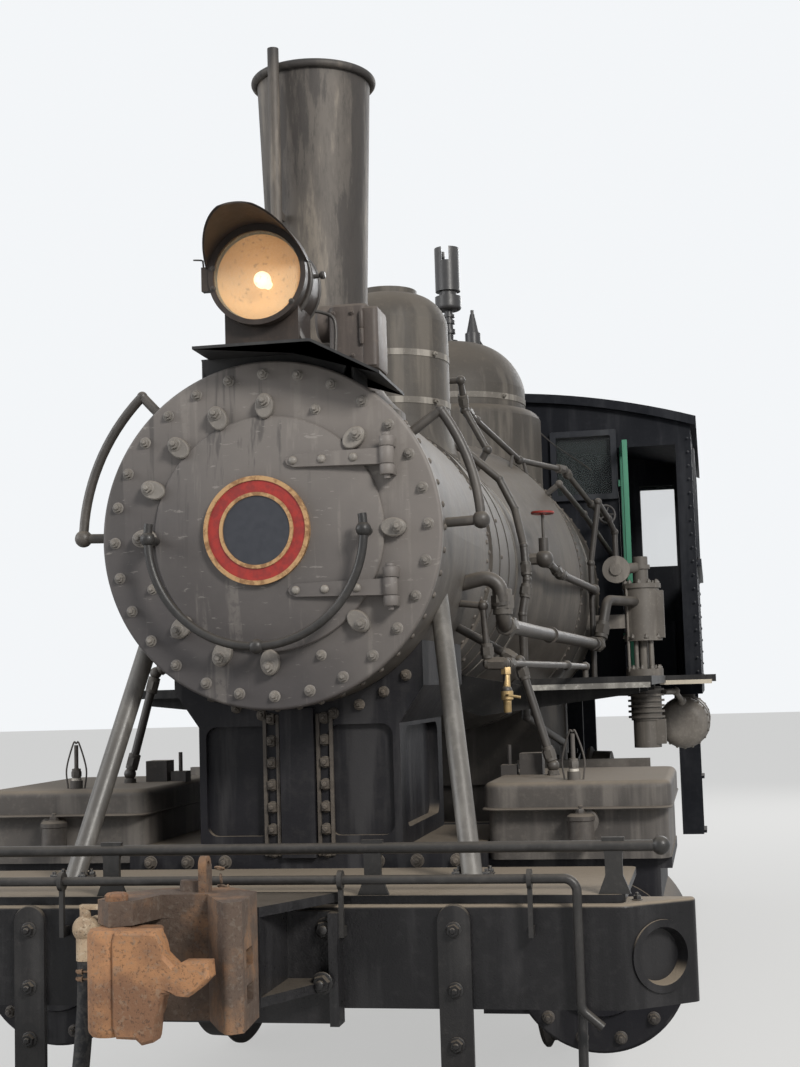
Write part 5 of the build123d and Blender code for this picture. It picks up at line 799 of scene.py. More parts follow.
# The bowl is no lamp: its glow is a painted reflection of the bulb's light.
bowl_glow = lamp_glow("bowl_glow", (0.70, 0.40, 0.15), (0.50, 0.26, 0.09), 0.22)
bulb_glow = lamp_glow("bulb_glow", (1.0, 0.86, 0.55), (1.0, 0.72, 0.36), 1.6)
piece("lamp_bowl", stand(turned(shell_profile, 72), [LAMP]), bowl_glow)
ball_a = np.radians(np.linspace(-84, 84, 13))
globe = np.stack([0.030 * np.cos(ball_a), -0.075 + 0.034 * np.sin(ball_a)], -1)
socket = turned([(0.016, -0.148), (0.016, -0.108), (0.020, -0.104)], 16)
piece("lamp_bulb", stand(join(turned(globe, 24), socket), [LAMP]), bulb_glow)

# %% [markdown]
# Everything on the engine was set out from its front face and from the rail. The same three
# measures place each fitting here: across to the left, back from the face, and above the rail.

# %% Places and rows of rivets
SMOKEBOX_R = 0.598
COURSE_R = 0.602
BARREL_R = 0.790
RIVET_STEP = 0.085


def place(across, back, high):
    """A place across to the left, back from the front face and above the rail."""
    return np.array([across, FACE_Y + back, RAIL_Z + high])


def route(*rows):
    """Places one after another, each as across, back and above the rail."""
    return [place(*row) for row in rows]


def round_barrel(radius, degrees, back):
    """Places round the boiler at one distance from the face, and the ways out from its axis."""
    a = np.radians(np.array(degrees, float))
    out = np.stack([np.cos(a), a * 0, np.sin(a)], -1)
    return out * radius + (0, FACE_Y + back, boiler_z), out


def rivet_round(r, radius, degrees, back):
    places, out = round_barrel(radius, degrees, back)
    return stand(rivet(r), places, out, (0, 1, 0))


def rivet_line(r, start, end, out):
    """Rivets from start to end, as near to RIVET_STEP apart as fits."""
    start, end = np.array(start, float), np.array(end, float)
    count = max(2, int(round(np.linalg.norm(end - start) / RIVET_STEP)) + 1)
    places = start + np.linspace(0, 1, count)[:, None] * (end - start)
    up = (0, 1, 0) if abs(out[2]) > 0.9 else (0, 0, 1)
    return stand(rivet(r), places, out, up)


full_turn = np.arange(48) * 7.5
upper = np.arange(-36, 217, 6)
barrel_rivets = [
    rivet_round(0.011, SMOKEBOX_R - 0.0005, full_turn, 0.066),
    rivet_round(0.010, 0.5895, full_turn + 3.7, 1.150),
    rivet_round(0.010, 0.5895, full_turn, 1.205),
    rivet_round(0.010, COURSE_R + 0.0035, full_turn[::2], 1.480),
    rivet_round(0.010, BARREL_R + 0.0035, upper, 3.356),
    rivet_round(0.010, BARREL_R + 0.0035, upper + 3, 3.384),
    rivet_round(0.010, BARREL_R + 0.0035, upper, 4.685),
]
shell_paint = paint("shell_paint", (0.062, 0.054, 0.047), (0.120, 0.104, 0.088), 0.42, 0.55, 0.5, 0.30)
piece("barrel_rivets", join(*barrel_rivets), shell_paint)

# %% [markdown]
# Thin steel bands hold the boiler's jacket, and each dome has two more, pulled tight by a bolt.
# They are hoops of a small flat section, a few millimetres proud of the sheet.

# %% Bands of the jacket and the domes
def band(radius, width, proud=0.003):
    """Section of a flat band, sunk 2 mm into the sheet of that radius."""
    half = width / 2
    return [(radius - 0.002, -half), (radius + proud, -half), (radius + proud, half), (radius - 0.002, half)]


def dome_band(radius, back, high, width):
    return upright(hoop(band(radius, width), 96), place(0, back, high))


def jacket_band(radius, back, width):
    return stand(hoop(band(radius, width), 128), [(0, FACE_Y + back, boiler_z)], (0, -1, 0))


bands = []
for radius, back in ((COURSE_R, 2.05), (COURSE_R, 2.45), (BARREL_R, 4.05)):
    bands.append(jacket_band(radius, back, 0.045))
clamp_places = []
for radius, back, width, turn, heights in (
    (0.292, 2.190, 0.030, 1.0, (2.878, 3.103)),
    (0.440, 4.120, 0.034, 0.9, (3.121, 3.213)),
):
    for high in heights:
        bands.append(dome_band(radius, back, high, width))
        clamp_places.append(place(radius * np.sin(turn), back - radius * np.cos(turn), high))
clamps = stand(nut(0.022, 0.020), clamp_places, (0.8, -0.6, 0))
band_paint = paint("band_paint", (0.075, 0.066, 0.056), (0.26, 0.24, 0.21), 0.36, 0.5, 0.6, 0.3, 60.0)
piece("jacket_bands", join(*bands, clamps), band_paint)

# %% [markdown]
# The lamp stands on a bent plate over the smokebox: level in the middle, with a wing that slopes
# down to the left side, legs below, and under it a near-black wall in front and another behind,
# which fill the gap above the smokebox as painted shade. Behind the wing stands the generator's
# box, whose cover hangs on an upright hinge.

# %% Lamp platform and generator box
def lengthwise(outline, first_y, last_y):
    """An outline of x and z carried along the engine from one y to another."""
    x, z = np.array(outline).T
    return capped(np.stack([np.stack([x, x * 0 + y, z], -1) for y in (first_y, last_y)]))


def sheet_strip(profile, thick, y_low, y_high):
    """A bent sheet: a line of x and z carried from y_low to y_high, thickened downwards."""
    line = np.array(profile, float)
    return lengthwise(np.vstack([line, line[::-1] - (0, thick)]), y_high, y_low)


PLATE_TOP = rail_to_z(2.725)
plate_line = [(0.430, rail_to_z(2.600)), (0.195, PLATE_TOP), (-0.215, PLATE_TOP)]
parts = [sheet_strip(plate_line[::-1], 0.010, -3.245, -2.810)]
# Painted shade: two near-black walls close the gap between the smokebox and the plate, a dark sheet where
# there is only shade under the plate.
shade_wall_a = np.radians(np.linspace(64, 112, 24))
shade_wall_low = np.stack([0.603 * np.cos(shade_wall_a), boiler_z + 0.603 * np.sin(shade_wall_a)], -1)
shade_wall_top = [(-0.243, PLATE_TOP - 0.008), (0.205, PLATE_TOP - 0.008), (0.280, rail_to_z(2.672))]
shade_wall = np.vstack([shade_wall_low, shade_wall_top])
parts.append(lengthwise(shade_wall, -3.060, -3.046))
parts.append(lengthwise(shade_wall, -2.850, -2.836))
for leg_x in (0.300, -0.236):
    low = boiler_z + np.sqrt(0.592**2 - leg_x**2) - 0.004
    top = rail_to_z(2.662) if leg_x > 0 else PLATE_TOP - 0.008
    parts.append(upright(pad(rounded(0.012, 0.21, 0.003), top - low, 0.002), (leg_x, -2.953, low)))
platform_paint = paint("platform_paint", (0.010, 0.010, 0.011), (0.030, 0.029, 0.028), 0.40, 0.55, 0.2, 0.3)
platform = piece("lamp_platform", join(*parts), platform_paint)
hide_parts("headlight_platform")

GENERATOR = np.array([0.218, -2.660])
box_low = boiler_z + 0.545
body_box = pad(rounded(0.150, 0.186, 0.030, 6), rail_to_z(2.955) - box_low, 0.010)
cover_box = pad(rounded(0.066, 0.190, 0.020, 6), rail_to_z(2.940) - box_low - 0.08, 0.008)
hinge_line = [(0.006, 0), (0.009, 0.01), (0.009, 0.055), (0.006, 0.058), (0.009, 0.062), (0.009, 0.115)]
hinge_rod = turned([*hinge_line, (0.006, 0.125)], 14)
drum = turned([(0.060, 0), (0.068, 0.008), (0.068, 0.050), (0.054, 0.062), (0.030, 0.066)], 32)
generator = [
    upright(body_box, (*GENERATOR, box_low)),
    upright(cover_box, (GENERATOR[0] + 0.077, GENERATOR[1], box_low + 0.08)),
    upright(hinge_rod, (GENERATOR[0] + 0.052, GENERATOR[1] - 0.101, rail_to_z(2.80))),
    stand(drum, [(GENERATOR[0] - 0.070, GENERATOR[1], rail_to_z(2.905))], (-1, 0, 0)),
]
bolt_y = GENERATOR[1] - 0.094
box_bolts = [(GENERATOR[0] - 0.055 + dx, bolt_y, rail_to_z(z)) for dx in (0, 0.07) for z in (2.76, 2.92)]
generator.append(stand(nut(0.014, 0.008), box_bolts))
generator_colours = ((0.055, 0.046, 0.042), (0.110, 0.088, 0.074))
generator_paint = paint("generator_paint", *generator_colours, 0.45, 0.3, 0.4, 0.3, 44.0)
generator_box = piece("generator_box", join(*generator), generator_paint)
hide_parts("headlight_platform")

# %% [markdown]
# The lamp's case has a bead round each end, a knob on its left side and an eye on a bent wire on its
# right. A pipe leads its wire down behind it, and a strut holds it to the platform.

# %% Lamp fittings
knob = turned([(0.008, 0), (0.008, 0.030), (0.013, 0.034), (0.015, 0.044), (0.010, 0.050)], 16)
eye = hoop(disc_section(0.012, 0.0028, 6), 20)
eye_wire = route((-0.188, -0.085, 3.010), (-0.190, -0.085, 3.034), (-0.198, -0.085, 3.037))
lamp_pipe = [(0.105, 0.130, 2.885), (0.170, 0.150, 2.880), (0.214, 0.155, 2.845), (0.214, 0.150, 2.715)]
case_nuts = route((-0.150, -0.1005, 3.0), (-0.150, -0.1005, 2.93), (0.125, -0.1005, 2.866))
lamp_parts = [
    stand(hoop(disc_section(0.166, 0.009, 12), 72), [LAMP + (0, 0.098, 0)]),
    stand(hoop(disc_section(0.163, 0.005, 8), 72), [LAMP + (0, 0.240, 0)]),
    stand(knob, route((0.158, 0.055, 2.985)), (1, 0, 0.1)),
    tube(eye_wire, 0.0035, 8),
    stand(eye, route((-0.210, -0.085, 3.038)), (0.1, -0.3, 1), (0, 1, 0)),
    tube(curved(route(*lamp_pipe)), 0.0065, 10),
    tube(route((0.098, -0.02, 2.850), (0.150, -0.02, 2.728)), 0.011, 8),
    stand(nut(0.014, 0.008), case_nuts),
]
lamp_trim = paint("lamp_trim", (0.030, 0.028, 0.027), (0.075, 0.066, 0.058), 0.62, 0.2, 0.1, 0.15, 80.0)
piece("lamp_fittings", join(*lamp_parts), lamp_trim)

# %% [markdown]
# The saddle under the smokebox is two castings bolted together along their middle flanges, and
# the smokebox is bolted to the curved flange on top. Square nuts in rows show both joints.

# %% Saddle nuts
SADDLE_FRONT = 0.330
NUT_BACK = SADDLE_FRONT - 0.0005
column = [place(x, NUT_BACK, z) for x in (0.098, -0.098) for z in np.linspace(0.985, 1.455, 7)]
curve_places = round_barrel(0.634, [231, 240, 249, 258, 282, 291, 300, 309], NUT_BACK)[0]
saddle_nuts = [stand(nut(0.030, 0.020, 4), column), stand(nut(0.028, 0.018, 4), curve_places)]
for x in (0.074, 0.122):
    strip = pad(rounded(0.012, 0.500, 0.003), 0.012, 0.002)
    saddle_nuts.append(stand(strip, [place(x, SADDLE_FRONT, 1.22), place(-x, SADDLE_FRONT, 1.22)]))
foot_row = [place(x, NUT_BACK, 0.950) for x in (-0.56, -0.42, -0.28, 0.28, 0.42, 0.56)]
saddle_nuts.append(stand(nut(0.034, 0.022, 6), foot_row))
saddle_paint = paint("saddle_paint", (0.045, 0.040, 0.036), (0.120, 0.100, 0.080), 0.40, 0.5, 0.5, 0.4, 60.0)
piece("saddle_nuts", join(*saddle_nuts), saddle_paint)

# %% [markdown]
# Bolts sit on whatever carries them. A ray sent at a solid gives the place where its head or nut
# touches, so that only the two measures across the face are chosen here.

# %% Seats found on the solids
def seats(node, starts, way):
    """The first place on a node's surface from each start, looking along way."""
    found = [nodes[node].ray_cast(start.tolist(), way) for start in np.array(starts, float)]
    missed = [tuple(start) for start, seat in zip(starts, found) if not seat[0]]
    if missed:
        print("no seat on", node, "from", missed)
    return np.array([tuple(seat[1]) for seat in found if seat[0]])


def bolted(shell, node, starts, way, up=(0, 0, 1)):
    return stand(shell, seats(node, starts, way), -np.array(way, float), up)


# %% [markdown]
# Each footboard hangs from the beam on a flat strap with a round top, bolted through twice, and
# on a rod behind the beam farther out. The board is a plank with its edges worn round.

# %% Footboards
BEAM_FRONT = -0.450
board_parts = []
strap_top, strap_low = 0.908, 0.245
for sign in (1, -1):
    strap = pad(rounded(0.100, strap_top - strap_low, 0.049, 8), 0.022, 0.003)
    board_parts.append(stand(strap, [place(sign * 0.673, BEAM_FRONT, (strap_top + strap_low) / 2)]))
    plank = pad(rounded(0.660, 0.250, 0.014, 5), 0.038, 0.006)
    board_parts.append(upright(plank, place(sign * 0.800, BEAM_FRONT - 0.126, 0.217)))
    stay = route((sign * 0.673, -0.474, 0.360), (sign * 0.673, -0.660, 0.262))
    hanger = route((sign * 1.040, -0.400, 0.602), (sign * 1.040, -0.462, 0.252))
    board_parts += [tube(stay, 0.013, 10), tube(hanger, 0.015, 10)]
    bolts = [place(sign * 0.673, -0.472, high) for high in (0.834, 0.658, 0.500)]
    board_parts.append(stand(nut(0.034, 0.020, stud=0.25), bolts, (0, -1, 0), (0.2, 0, 1)))
    carriage = [place(sign * x, back, 0.255) for x in (0.673, 1.040) for back in (-0.500, -0.640)]
    board_parts.append(upright(rivet(0.014), *carriage))
strap_colours = ((0.008, 0.008, 0.009), (0.028, 0.026, 0.025))
strap_paint = paint("strap_paint", *strap_colours, 0.64, 0.6, 0.3, 0.7, 40.0, shine=0.28)
footboards = piece("footboards_hung", join(*board_parts), strap_paint)
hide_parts("footboards")

# %% [markdown]
# Four large bolts hold the draft casting. Smaller ones hold the feet of the rail's posts and of the
# braces, and a row of rivets runs along the deck's front edge.

# %% Bolts of the draft casting, the deck and the rail posts
draft_starts = [place(x, -1.2, high) for x in (-0.285, 0.285) for high in (0.690, 0.840)]
beam_bolts = [bolted(nut(0.046, 0.028, stud=0.35), "draft_casting", draft_starts, (0, 1, 0), (0.3, 0, 1))]
post_feet = [place(x + dx, -0.36, 1.2) for x in (-1.150, -0.420, 0.420, 1.150) for dx in (-0.062, 0.062)]
beam_bolts.append(bolted(nut(0.022, 0.014), "bumper_beam", post_feet, (0, 0, -1), (0, 1, 0)))
deck_row = [place(x, -0.335, 1.2) for x in np.linspace(-0.98, 0.98, 9)]
beam_bolts.append(bolted(rivet(0.013), "bumper_beam", deck_row, (0, 0, -1), (0, 1, 0)))
brace_feet = [place(s * x, back, 1.2) for s in (1, -1) for x in (0.630, 0.730) for back in (-0.138, -0.062)]
beam_bolts.append(bolted(nut(0.024, 0.014), "smokebox_braces", brace_feet, (0, 0, -1), (0, 1, 0)))
piece("front_bolts", join(*beam_bolts), strap_paint)

# %% [markdown]
# A short chain lifts the coupler's lock when the lever turns. Its links are small hoops, turned by
# turns, and the lever and lock each have an eye that a link goes through.

# %% Lock chain
chain_top = place(-0.010, -0.500, 0.968)
chain_low = place(0.020, -0.690, 1.062)
share = np.linspace(0.06, 0.94, 8)[:, None]
sag = np.array([0.0, 0.0, -0.055]) * (4 * share * (1 - share))
link_places = chain_top + share * (chain_low - chain_top) + sag
link_ways = np.tile([(1.0, 0.2, 0.1), (0.1, 0.4, 1.0)], (4, 1))
link = hoop(disc_section(0.0125, 0.0036, 8), 20)
lock_chain = stand(link, link_places, link_ways, (0, 1, 0.2))
chain_rust = rusty("chain_rust", (0.20, 0.120, 0.070), (0.080, 0.055, 0.040), (0.16, 0.13, 0.10), 0.5)
piece("lock_chain", lock_chain, chain_rust)

# %% [markdown]
# The air hose is a thick rubber hose of a fixed length that hangs under its own weight. Its line
# is a smooth spline through the same few points as the solid hose, and two screw clamps hold it on
# the cock and two on its coupling.

# %% Air hose
hose_route = route(
    (-0.455, -0.545, 0.755),
    (-0.455, -0.545, 0.650),
    (-0.453, -0.575, 0.530),
    (-0.447, -0.619, 0.425),
    (-0.437, -0.683, 0.335),
    (-0.425, -0.761, 0.267),
)
HOSE_R = 0.026


def hose_rubber():
    """Black rubber, chalky in its creases, with the faint spiral of its wrapping cloth."""
    f = Finish("hose_black")
    fine = f.noise(60.0, 5.0, 0.6)
    wrap = f.add("TexWave", {"bands_direction": "Z"}, {"Vector": f.place, "Scale": 34.0, "Distortion": 1.5})
    base = f.blend(fine.above(0.52, 0.2) * 0.6, (0.016, 0.016, 0.017), (0.065, 0.060, 0.055))
    f.set(Base_Color=base, Roughness=0.62 + fine * 0.2, Specular_IOR_Level=0.3)
    f.set(Normal=f.bump(wrap * 0.5 + fine * 0.5, 0.35, 0.0015))
    return f


hose_finish = hose_rubber()
hose_line = bpy.data.curves.new("air_hose_line", "CURVE")
hose_line.dimensions = "3D"
spline = hose_line.splines.new("NURBS")
spline.points.add(len(hose_route) - 1)
spline.points.foreach_set("co", np.column_stack([hose_route, np.ones(len(hose_route))]).ravel())
spline.order_u = 3
spline.use_endpoint_u = True
spline.resolution_u = 24
hose_line.bevel_depth = HOSE_R
hose_line.bevel_resolution = 8
hose_line.use_fill_caps = True
hose_line.materials.append(hose_finish.material)
hose = linked("air_hose_free", hose_line)
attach(hose, "engine")
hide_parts("air_hose")
clamp_screw = stand(nut(0.012, 0.016), [(0, -HOSE_R - 0.003, 0)], (1, 0, 0))
clamp_ring = join(hoop(disc_section(HOSE_R + 0.002, 0.0032, 8), 40), clamp_screw)
low_way = hose_route[-1] - hose_route[-2]
low_way /= np.linalg.norm(low_way)
clamp_places = [hose_route[0] - (0, 0, 0.030), hose_route[0] - (0, 0, 0.052)]
clamp_places += [hose_route[-1] - low_way * 0.012, hose_route[-1] - low_way * 0.034]
clamp_ways = [(0, 0, -1), (0, 0, -1), low_way, low_way]
hose_clamps = stand(clamp_ring, clamp_places, clamp_ways, (0, 1, 0.3))
clamps_made = piece("hose_clamps", hose_clamps, chain_rust)

# %% [markdown]
# A pot stands before each steam chest, and on the chest a pale oil cup under a guard of two bent
# wires. Nuts go round the cylinder's front cover, and two drains hang below the cylinder.

# %% Fittings of the steam chests and the cylinder covers
COVER_BOLT_R = 0.262
pot_line = [(0.040, 0), (0.047, 0.006), (0.045, 0.078), (0.049, 0.082), (0.049, 0.096), (0.038, 0.104)]
pot = turned(pot_line, 32)
pot_nut = nut(0.030, 0.018)
cup = turned([(0.019, 0.0), (0.020, 0.004), (0.019, 0.038), (0.012, 0.044)], 20)
drain_end = turned([(0.012, 0), (0.018, 0.006), (0.018, 0.030), (0.010, 0.036)], 14)
lid_seam = pad(rounded(0.676, 1.006, 0.064, 8), 0.007, 0.003)
cover_turn = np.radians(np.arange(12) * 30 + 15)
chest_parts, chest_pale = [], []
for sign, side in ((1, "left"), (-1, "right")):
    chest_parts.append(upright(pot, place(sign * 0.985, 0.455, 0.990)))
    chest_parts.append(stand(pot_nut, route((sign * 0.985, 0.455, 1.093)), (0, 0, 1), (0.3, 1, 0)))
    cup_place = place(sign * 0.954, 0.600, 1.204)
    chest_pale.append(upright(cup, cup_place))
    cap = nut(0.034, 0.020, washer=0)
    chest_parts.append(stand(cap, [cup_place + (0, 0, 0.046)], (0, 0, 1), (0.2, 1, 0)))
    for way in (1, -1):
        guard = [(way * 0.034, 0, 0.0), (way * 0.040, 0, 0.075), (way * 0.012, 0, 0.170), (0, 0, 0.172)]
        chest_parts.append(tube(curved(cup_place + np.array(guard)), 0.0035, 8))
    cover_x = sign * 1.020 + COVER_BOLT_R * np.cos(cover_turn)
    cover_z = 0.560 + COVER_BOLT_R * np.sin(cover_turn)
    cover = [place(x, 0.0, z) for x, z in zip(cover_x, cover_z)]
    chest_parts.append(bolted(nut(0.032, 0.020), "cylinder_" + side, cover, (0, 1, 0), (0.3, 0, 1)))
    chest_parts.append(upright(lid_seam, place(sign * 0.967, 0.950, 1.107)))
    drains = route((sign * 1.020, 0.640, 0.240), (sign * 1.020, 1.250, 0.240))
    chest_parts.append(upright(drain_end, *drains))
chest_paint = paint("chest_paint", (0.034, 0.030, 0.028), (0.085, 0.074, 0.064), 0.50, 0.6, 0.4, 0.35, 60.0)
piece("chest_fittings", join(*chest_parts), chest_paint)
pale_colours = ((0.34, 0.31, 0.27), (0.52, 0.49, 0.44))
pale_metal = paint("pale_metal", *pale_colours, 0.45, 0.3, 0.4, 0.2, 70.0, metal=0.4)
piece("oil_cup_glasses", join(*chest_pale), pale_metal)

# %% [markdown]
# Pipes are screwed together with unions: a six-sided nut between two round collars. A pair stands
# at each bend, turned along the pipe, so each is placed from the bends' own places.

# %% Pipe unions
def unions(across, inset, bends):
    """A union on both legs of every inner bend, inset from it along the leg."""
    bends = np.array([place(*bend) for bend in bends])
    ways = np.diff(bends, axis=0)
    ways /= np.linalg.norm(ways, axis=1, keepdims=True)
    spots = np.vstack([bends[1:-1] - ways[:-1] * inset, bends[1:-1] + ways[1:] * inset])
    around = np.vstack([ways[:-1], ways[1:]])
    half = across * 0.34
    body = turned([(across * 0.577, -half), (across * 0.577, half)], 6)
    rim = [(across * 0.46, -half * 1.9), (across * 0.50, -half * 1.8)]
    rim += [(across * 0.50, half * 1.8), (across * 0.46, half * 1.9)]
    collar = turned(rim, 16)
    return stand(join(body, collar), spots, around, (0.31, 0.22, 0.93))


SAND_BENDS = [(0.627, 2.150, 2.190), (0.640, 2.120, 2.030), (0.615, 2.100, 1.870)]
CHEST_BENDS = [(0.850, 0.900, 1.100), (0.850, 0.900, 1.240), (0.735, 0.900, 1.640), (0.480, 0.900, 1.790)]
LEFT_BENDS = [(0.287, 2.600, 3.080), (0.290, 2.690, 2.944), (0.323, 2.850, 2.915), (0.488, 3.300, 2.756)]
LEFT_BENDS += [(0.686, 3.800, 2.755), (0.798, 4.260, 2.602)]
VALVE_BENDS = [(0.560, 2.450, 2.150), (0.690, 2.450, 2.150), (0.740, 2.700, 2.090), (0.850, 3.500, 2.050)]
DRIP_BENDS = [(0.630, 0.700, 1.850), (0.642, 0.700, 1.633), (0.704, 0.700, 1.631), (0.872, 1.400, 1.623)]
small_bends = (SAND_BENDS, LEFT_BENDS[:3], LEFT_BENDS[3:], VALVE_BENDS)
union_parts = [unions(0.050, 0.052, bends) for bends in small_bends]
union_parts += [unions(0.044, 0.046, bends) for bends in (CHEST_BENDS, DRIP_BENDS)]
right_hand = [[(-x, y, z) for x, y, z in bends] for bends in (SAND_BENDS, CHEST_BENDS)]
union_parts += [unions(0.048, 0.050, bends) for bends in right_hand]
EXHAUST_BENDS = [(0.706, 0.682, 1.900), (0.706, 0.682, 1.775), (0.751, 1.400, 1.765)]
EXHAUST_REAR = [(0.751, 1.400, 1.765), (0.860, 3.600, 1.750), (0.905, 3.700, 2.000)]
union_parts += [unions(0.074, 0.085, bends) for bends in (EXHAUST_BENDS, EXHAUST_REAR)]
union_paint = paint("union_paint", (0.040, 0.036, 0.032), (0.125, 0.112, 0.098), 0.50, 0.4, 0.3, 0.3, 70.0)
piece("pipe_unions", join(*union_parts), union_paint)

# %% [markdown]
# Valves are turned by small wheels. A wheel is a round rim, a hub and a few straight spokes. The
# drain cock under the exhaust is bare brass with a short handle.

# %% Valve wheels, drain cock and whistle wire
def handwheel(r, thick, spokes=4):
    """A rim of a round section with spokes to a hub, its axis along Z."""
    parts = [hoop(disc_section(r, thick, 10), 40)]
    parts.append(turned([(0.22 * r, -1.2 * thick), (0.26 * r, 0), (0.22 * r, 1.2 * thick)], 16))
    for a in np.arange(spokes) * 2 * np.pi / spokes:
        way = np.array([np.cos(a), np.sin(a), 0])
        parts.append(tube([way * 0.15 * r, way * r], 0.6 * thick, 8))
    return join(*parts)


red_paint = paint("wheel_red", (0.30, 0.022, 0.016), (0.16, 0.020, 0.014), 0.50, 0.2, 0.2, 0.3, 70.0)
red_wheel = upright(handwheel(0.050, 0.0075), place(0.690, 2.450, 2.374))
piece("valve_wheel_red", red_wheel, red_paint)
black_wheel = stand(handwheel(0.052, 0.007, 5), [place(0.906, 3.955, 2.505)], (0.45, -0.85, 0.1))
stem = tube(route((0.906, 3.955, 2.505), (0.925, 3.990, 2.500)), 0.008, 8)
piece("valve_wheel_black", join(black_wheel, stem), lamp_trim)
cock_body = [(0.012, 0), (0.015, 0.004), (0.015, 0.045), (0.023, 0.050)]
cock_body += [(0.023, 0.080), (0.014, 0.086), (0.013, 0.150), (0.010, 0.156)]
cock_handle = route((0.709, 0.672, 1.513), (0.722, 0.650, 1.513), (0.765, 0.648, 1.505))
drain = [
    upright(turned(cock_body, 18), place(0.709, 0.700, 1.448)),
    tube(cock_handle, 0.005, 8),
    upright(nut(0.034, 0.026, washer=0, stud=0), place(0.708, 0.700, 1.592)),
]
brass = paint("drain_brass", (0.46, 0.33, 0.16), (0.28, 0.19, 0.10), 0.55, 0.2, 0.2, 0.3, 90.0, metal=0.6)
piece("drain_cock", join(*drain), brass)
wire = route((0.150, 4.120, 3.640), (0.196, 4.120, 3.583), (0.462, 4.400, 3.112), (0.776, 4.700, 2.863))
piece("whistle_wire", tube(curved(wire, 10), 0.0045, 8), lamp_trim)

# %% [markdown]
# The air pump is two cylinders on one stem, each head held by a round of nuts. The tank beside it
# is a riveted drum hung in two straps.

# %% Nuts of the air pump and straps of the tank
PUMP = (1.080, 4.100)
pump_nuts = []
for high, reach, count in ((2.104, 0.094, 10), (1.612, 0.090, 10), (1.790, 0.104, 8)):
    a = np.arange(count) * 2 * np.pi / count + 0.2
    spots = [place(PUMP[0] + reach * np.cos(t), PUMP[1] + reach * np.sin(t), high) for t in a]
    pump_nuts.append(stand(nut(0.022, 0.015), spots, (0, 0, 1), (0.3, 1, 0)))
pump_nuts.append(stand(nut(0.060, 0.030, washer=0, stud=0.2), [place(*PUMP, 2.214)], (0, 0, 1), (0.3, 1, 0)))
for back in (4.750, 5.650):
    pump_nuts.append(stand(hoop(band(0.151, 0.040, 0.004), 64), [place(1.280, back, 1.288)]))
tank_turn = np.radians(np.arange(20) * 18)
for back in (4.500, 5.900):
    out = np.stack([np.cos(tank_turn), tank_turn * 0, np.sin(tank_turn)], -1)
    pump_nuts.append(stand(rivet(0.008), out * 0.1495 + place(1.280, back, 1.288), out, (0, 1, 0)))
pump_paint = paint("pump_paint", (0.090, 0.080, 0.070), (0.230, 0.208, 0.182), 0.50, 0.4, 0.35, 0.4, 50.0)
piece("pump_nuts", join(*pump_nuts), pump_paint)
keep(pump_paint, "air_pump")

# %% [markdown]
# The cab is sheet iron on a riveted frame. Every window sits in a wooden frame a little proud of
# the sheet, a flat ring between two rounded outlines, and a sill runs under the side windows.

# %% Window frames and rivets of the cab
def window_frame(width, height, wide=0.034, thick=0.016):
    """A flat frame round an opening: rings of points outside, on its front and inside."""
    size = np.array([width, height])
    outer = rounded(*(size + 2 * wide), 0.012, 5)
    inner = rounded(*(size - 0.004), 0.008, 5)
    levels = [(outer, -0.001), (outer, thick - 0.003), (outer * (1 - 0.003), thick)]
    levels += [(inner, thick), (inner, -0.001)]
    rings = np.stack([np.column_stack([flat, np.full(len(flat), h)]) for flat, h in levels])
    return rings.reshape(-1, 3), between(len(rings), rings.shape[1], True), np.zeros((0, 3), int)


def frame_at(x_low, x_high, z_low, z_high, y, out):
    shell = window_frame(x_high - x_low, z_high - z_low)
    return stand(shell, [((x_low + x_high) / 2, y, (z_low + z_high) / 2)], out)


CAB_FACE, CAB_BACK = cab_low[1], 3.940
FRONT, BACK = (0, -1, 0), (0, 1, 0)
side_frame = window_frame(0.840, 0.650, 0.029)
sill = pad(rounded(1.860, 0.050, 0.008), 0.030, 0.005)
cab_parts = []
for x_low, x_high in ((0.560, 0.905), (-0.905, -0.560)):
    cab_parts.append(frame_at(x_low, x_high, rail_to_z(2.710), rail_to_z(3.080), CAB_FACE, FRONT))
for x_low, x_high in ((0.980, 1.240), (-1.240, -0.980)):
    cab_parts.append(frame_at(x_low, x_high, 2.400, 3.020, CAB_BACK, BACK))
for sign in (1, -1):
    face, out = sign * cab_high[0], (sign, 0, 0)
    for middle in (2.340, 3.240):
        cab_parts.append(stand(side_frame, [(face, middle, rail_to_z(2.655))], out))
    cab_parts.append(stand(sill, [(face, 2.790, 2.303)], out))
    for back in (1.700, 2.780, 3.700, 3.870):
        cab_parts.append(rivet_line(0.0085, (face, back, 1.60), (face, back, 3.06), out))
    for high in (1.585, 3.075):
        cab_parts.append(rivet_line(0.0085, (face, 1.78, high), (face, 3.82, high), out))
    for x in (sign * 0.740, sign * 1.368):
        cab_parts.append(rivet_line(0.0075, (x, CAB_BACK, 1.65), (x, CAB_BACK, 3.05), BACK))
    x = sign * 1.376
    cab_parts.append(rivet_line(0.0075, (x, CAB_FACE, 1.62), (x, CAB_FACE, 3.06), FRONT))
trim_colours = ((0.012, 0.014, 0.020), (0.034, 0.036, 0.040))
cab_trim = paint("cab_trim", *trim_colours, 0.55, 0.35, 0.3, 0.2, 50.0, shine=0.25)
piece("cab_frames", join(*cab_parts), cab_trim)

# %% [markdown]
# Each crank pin of the front and the rear wheels ends in a nut on a collar. It rides on the wheels,
# so it goes round with them. The two sides' pins stand a quarter turn apart.

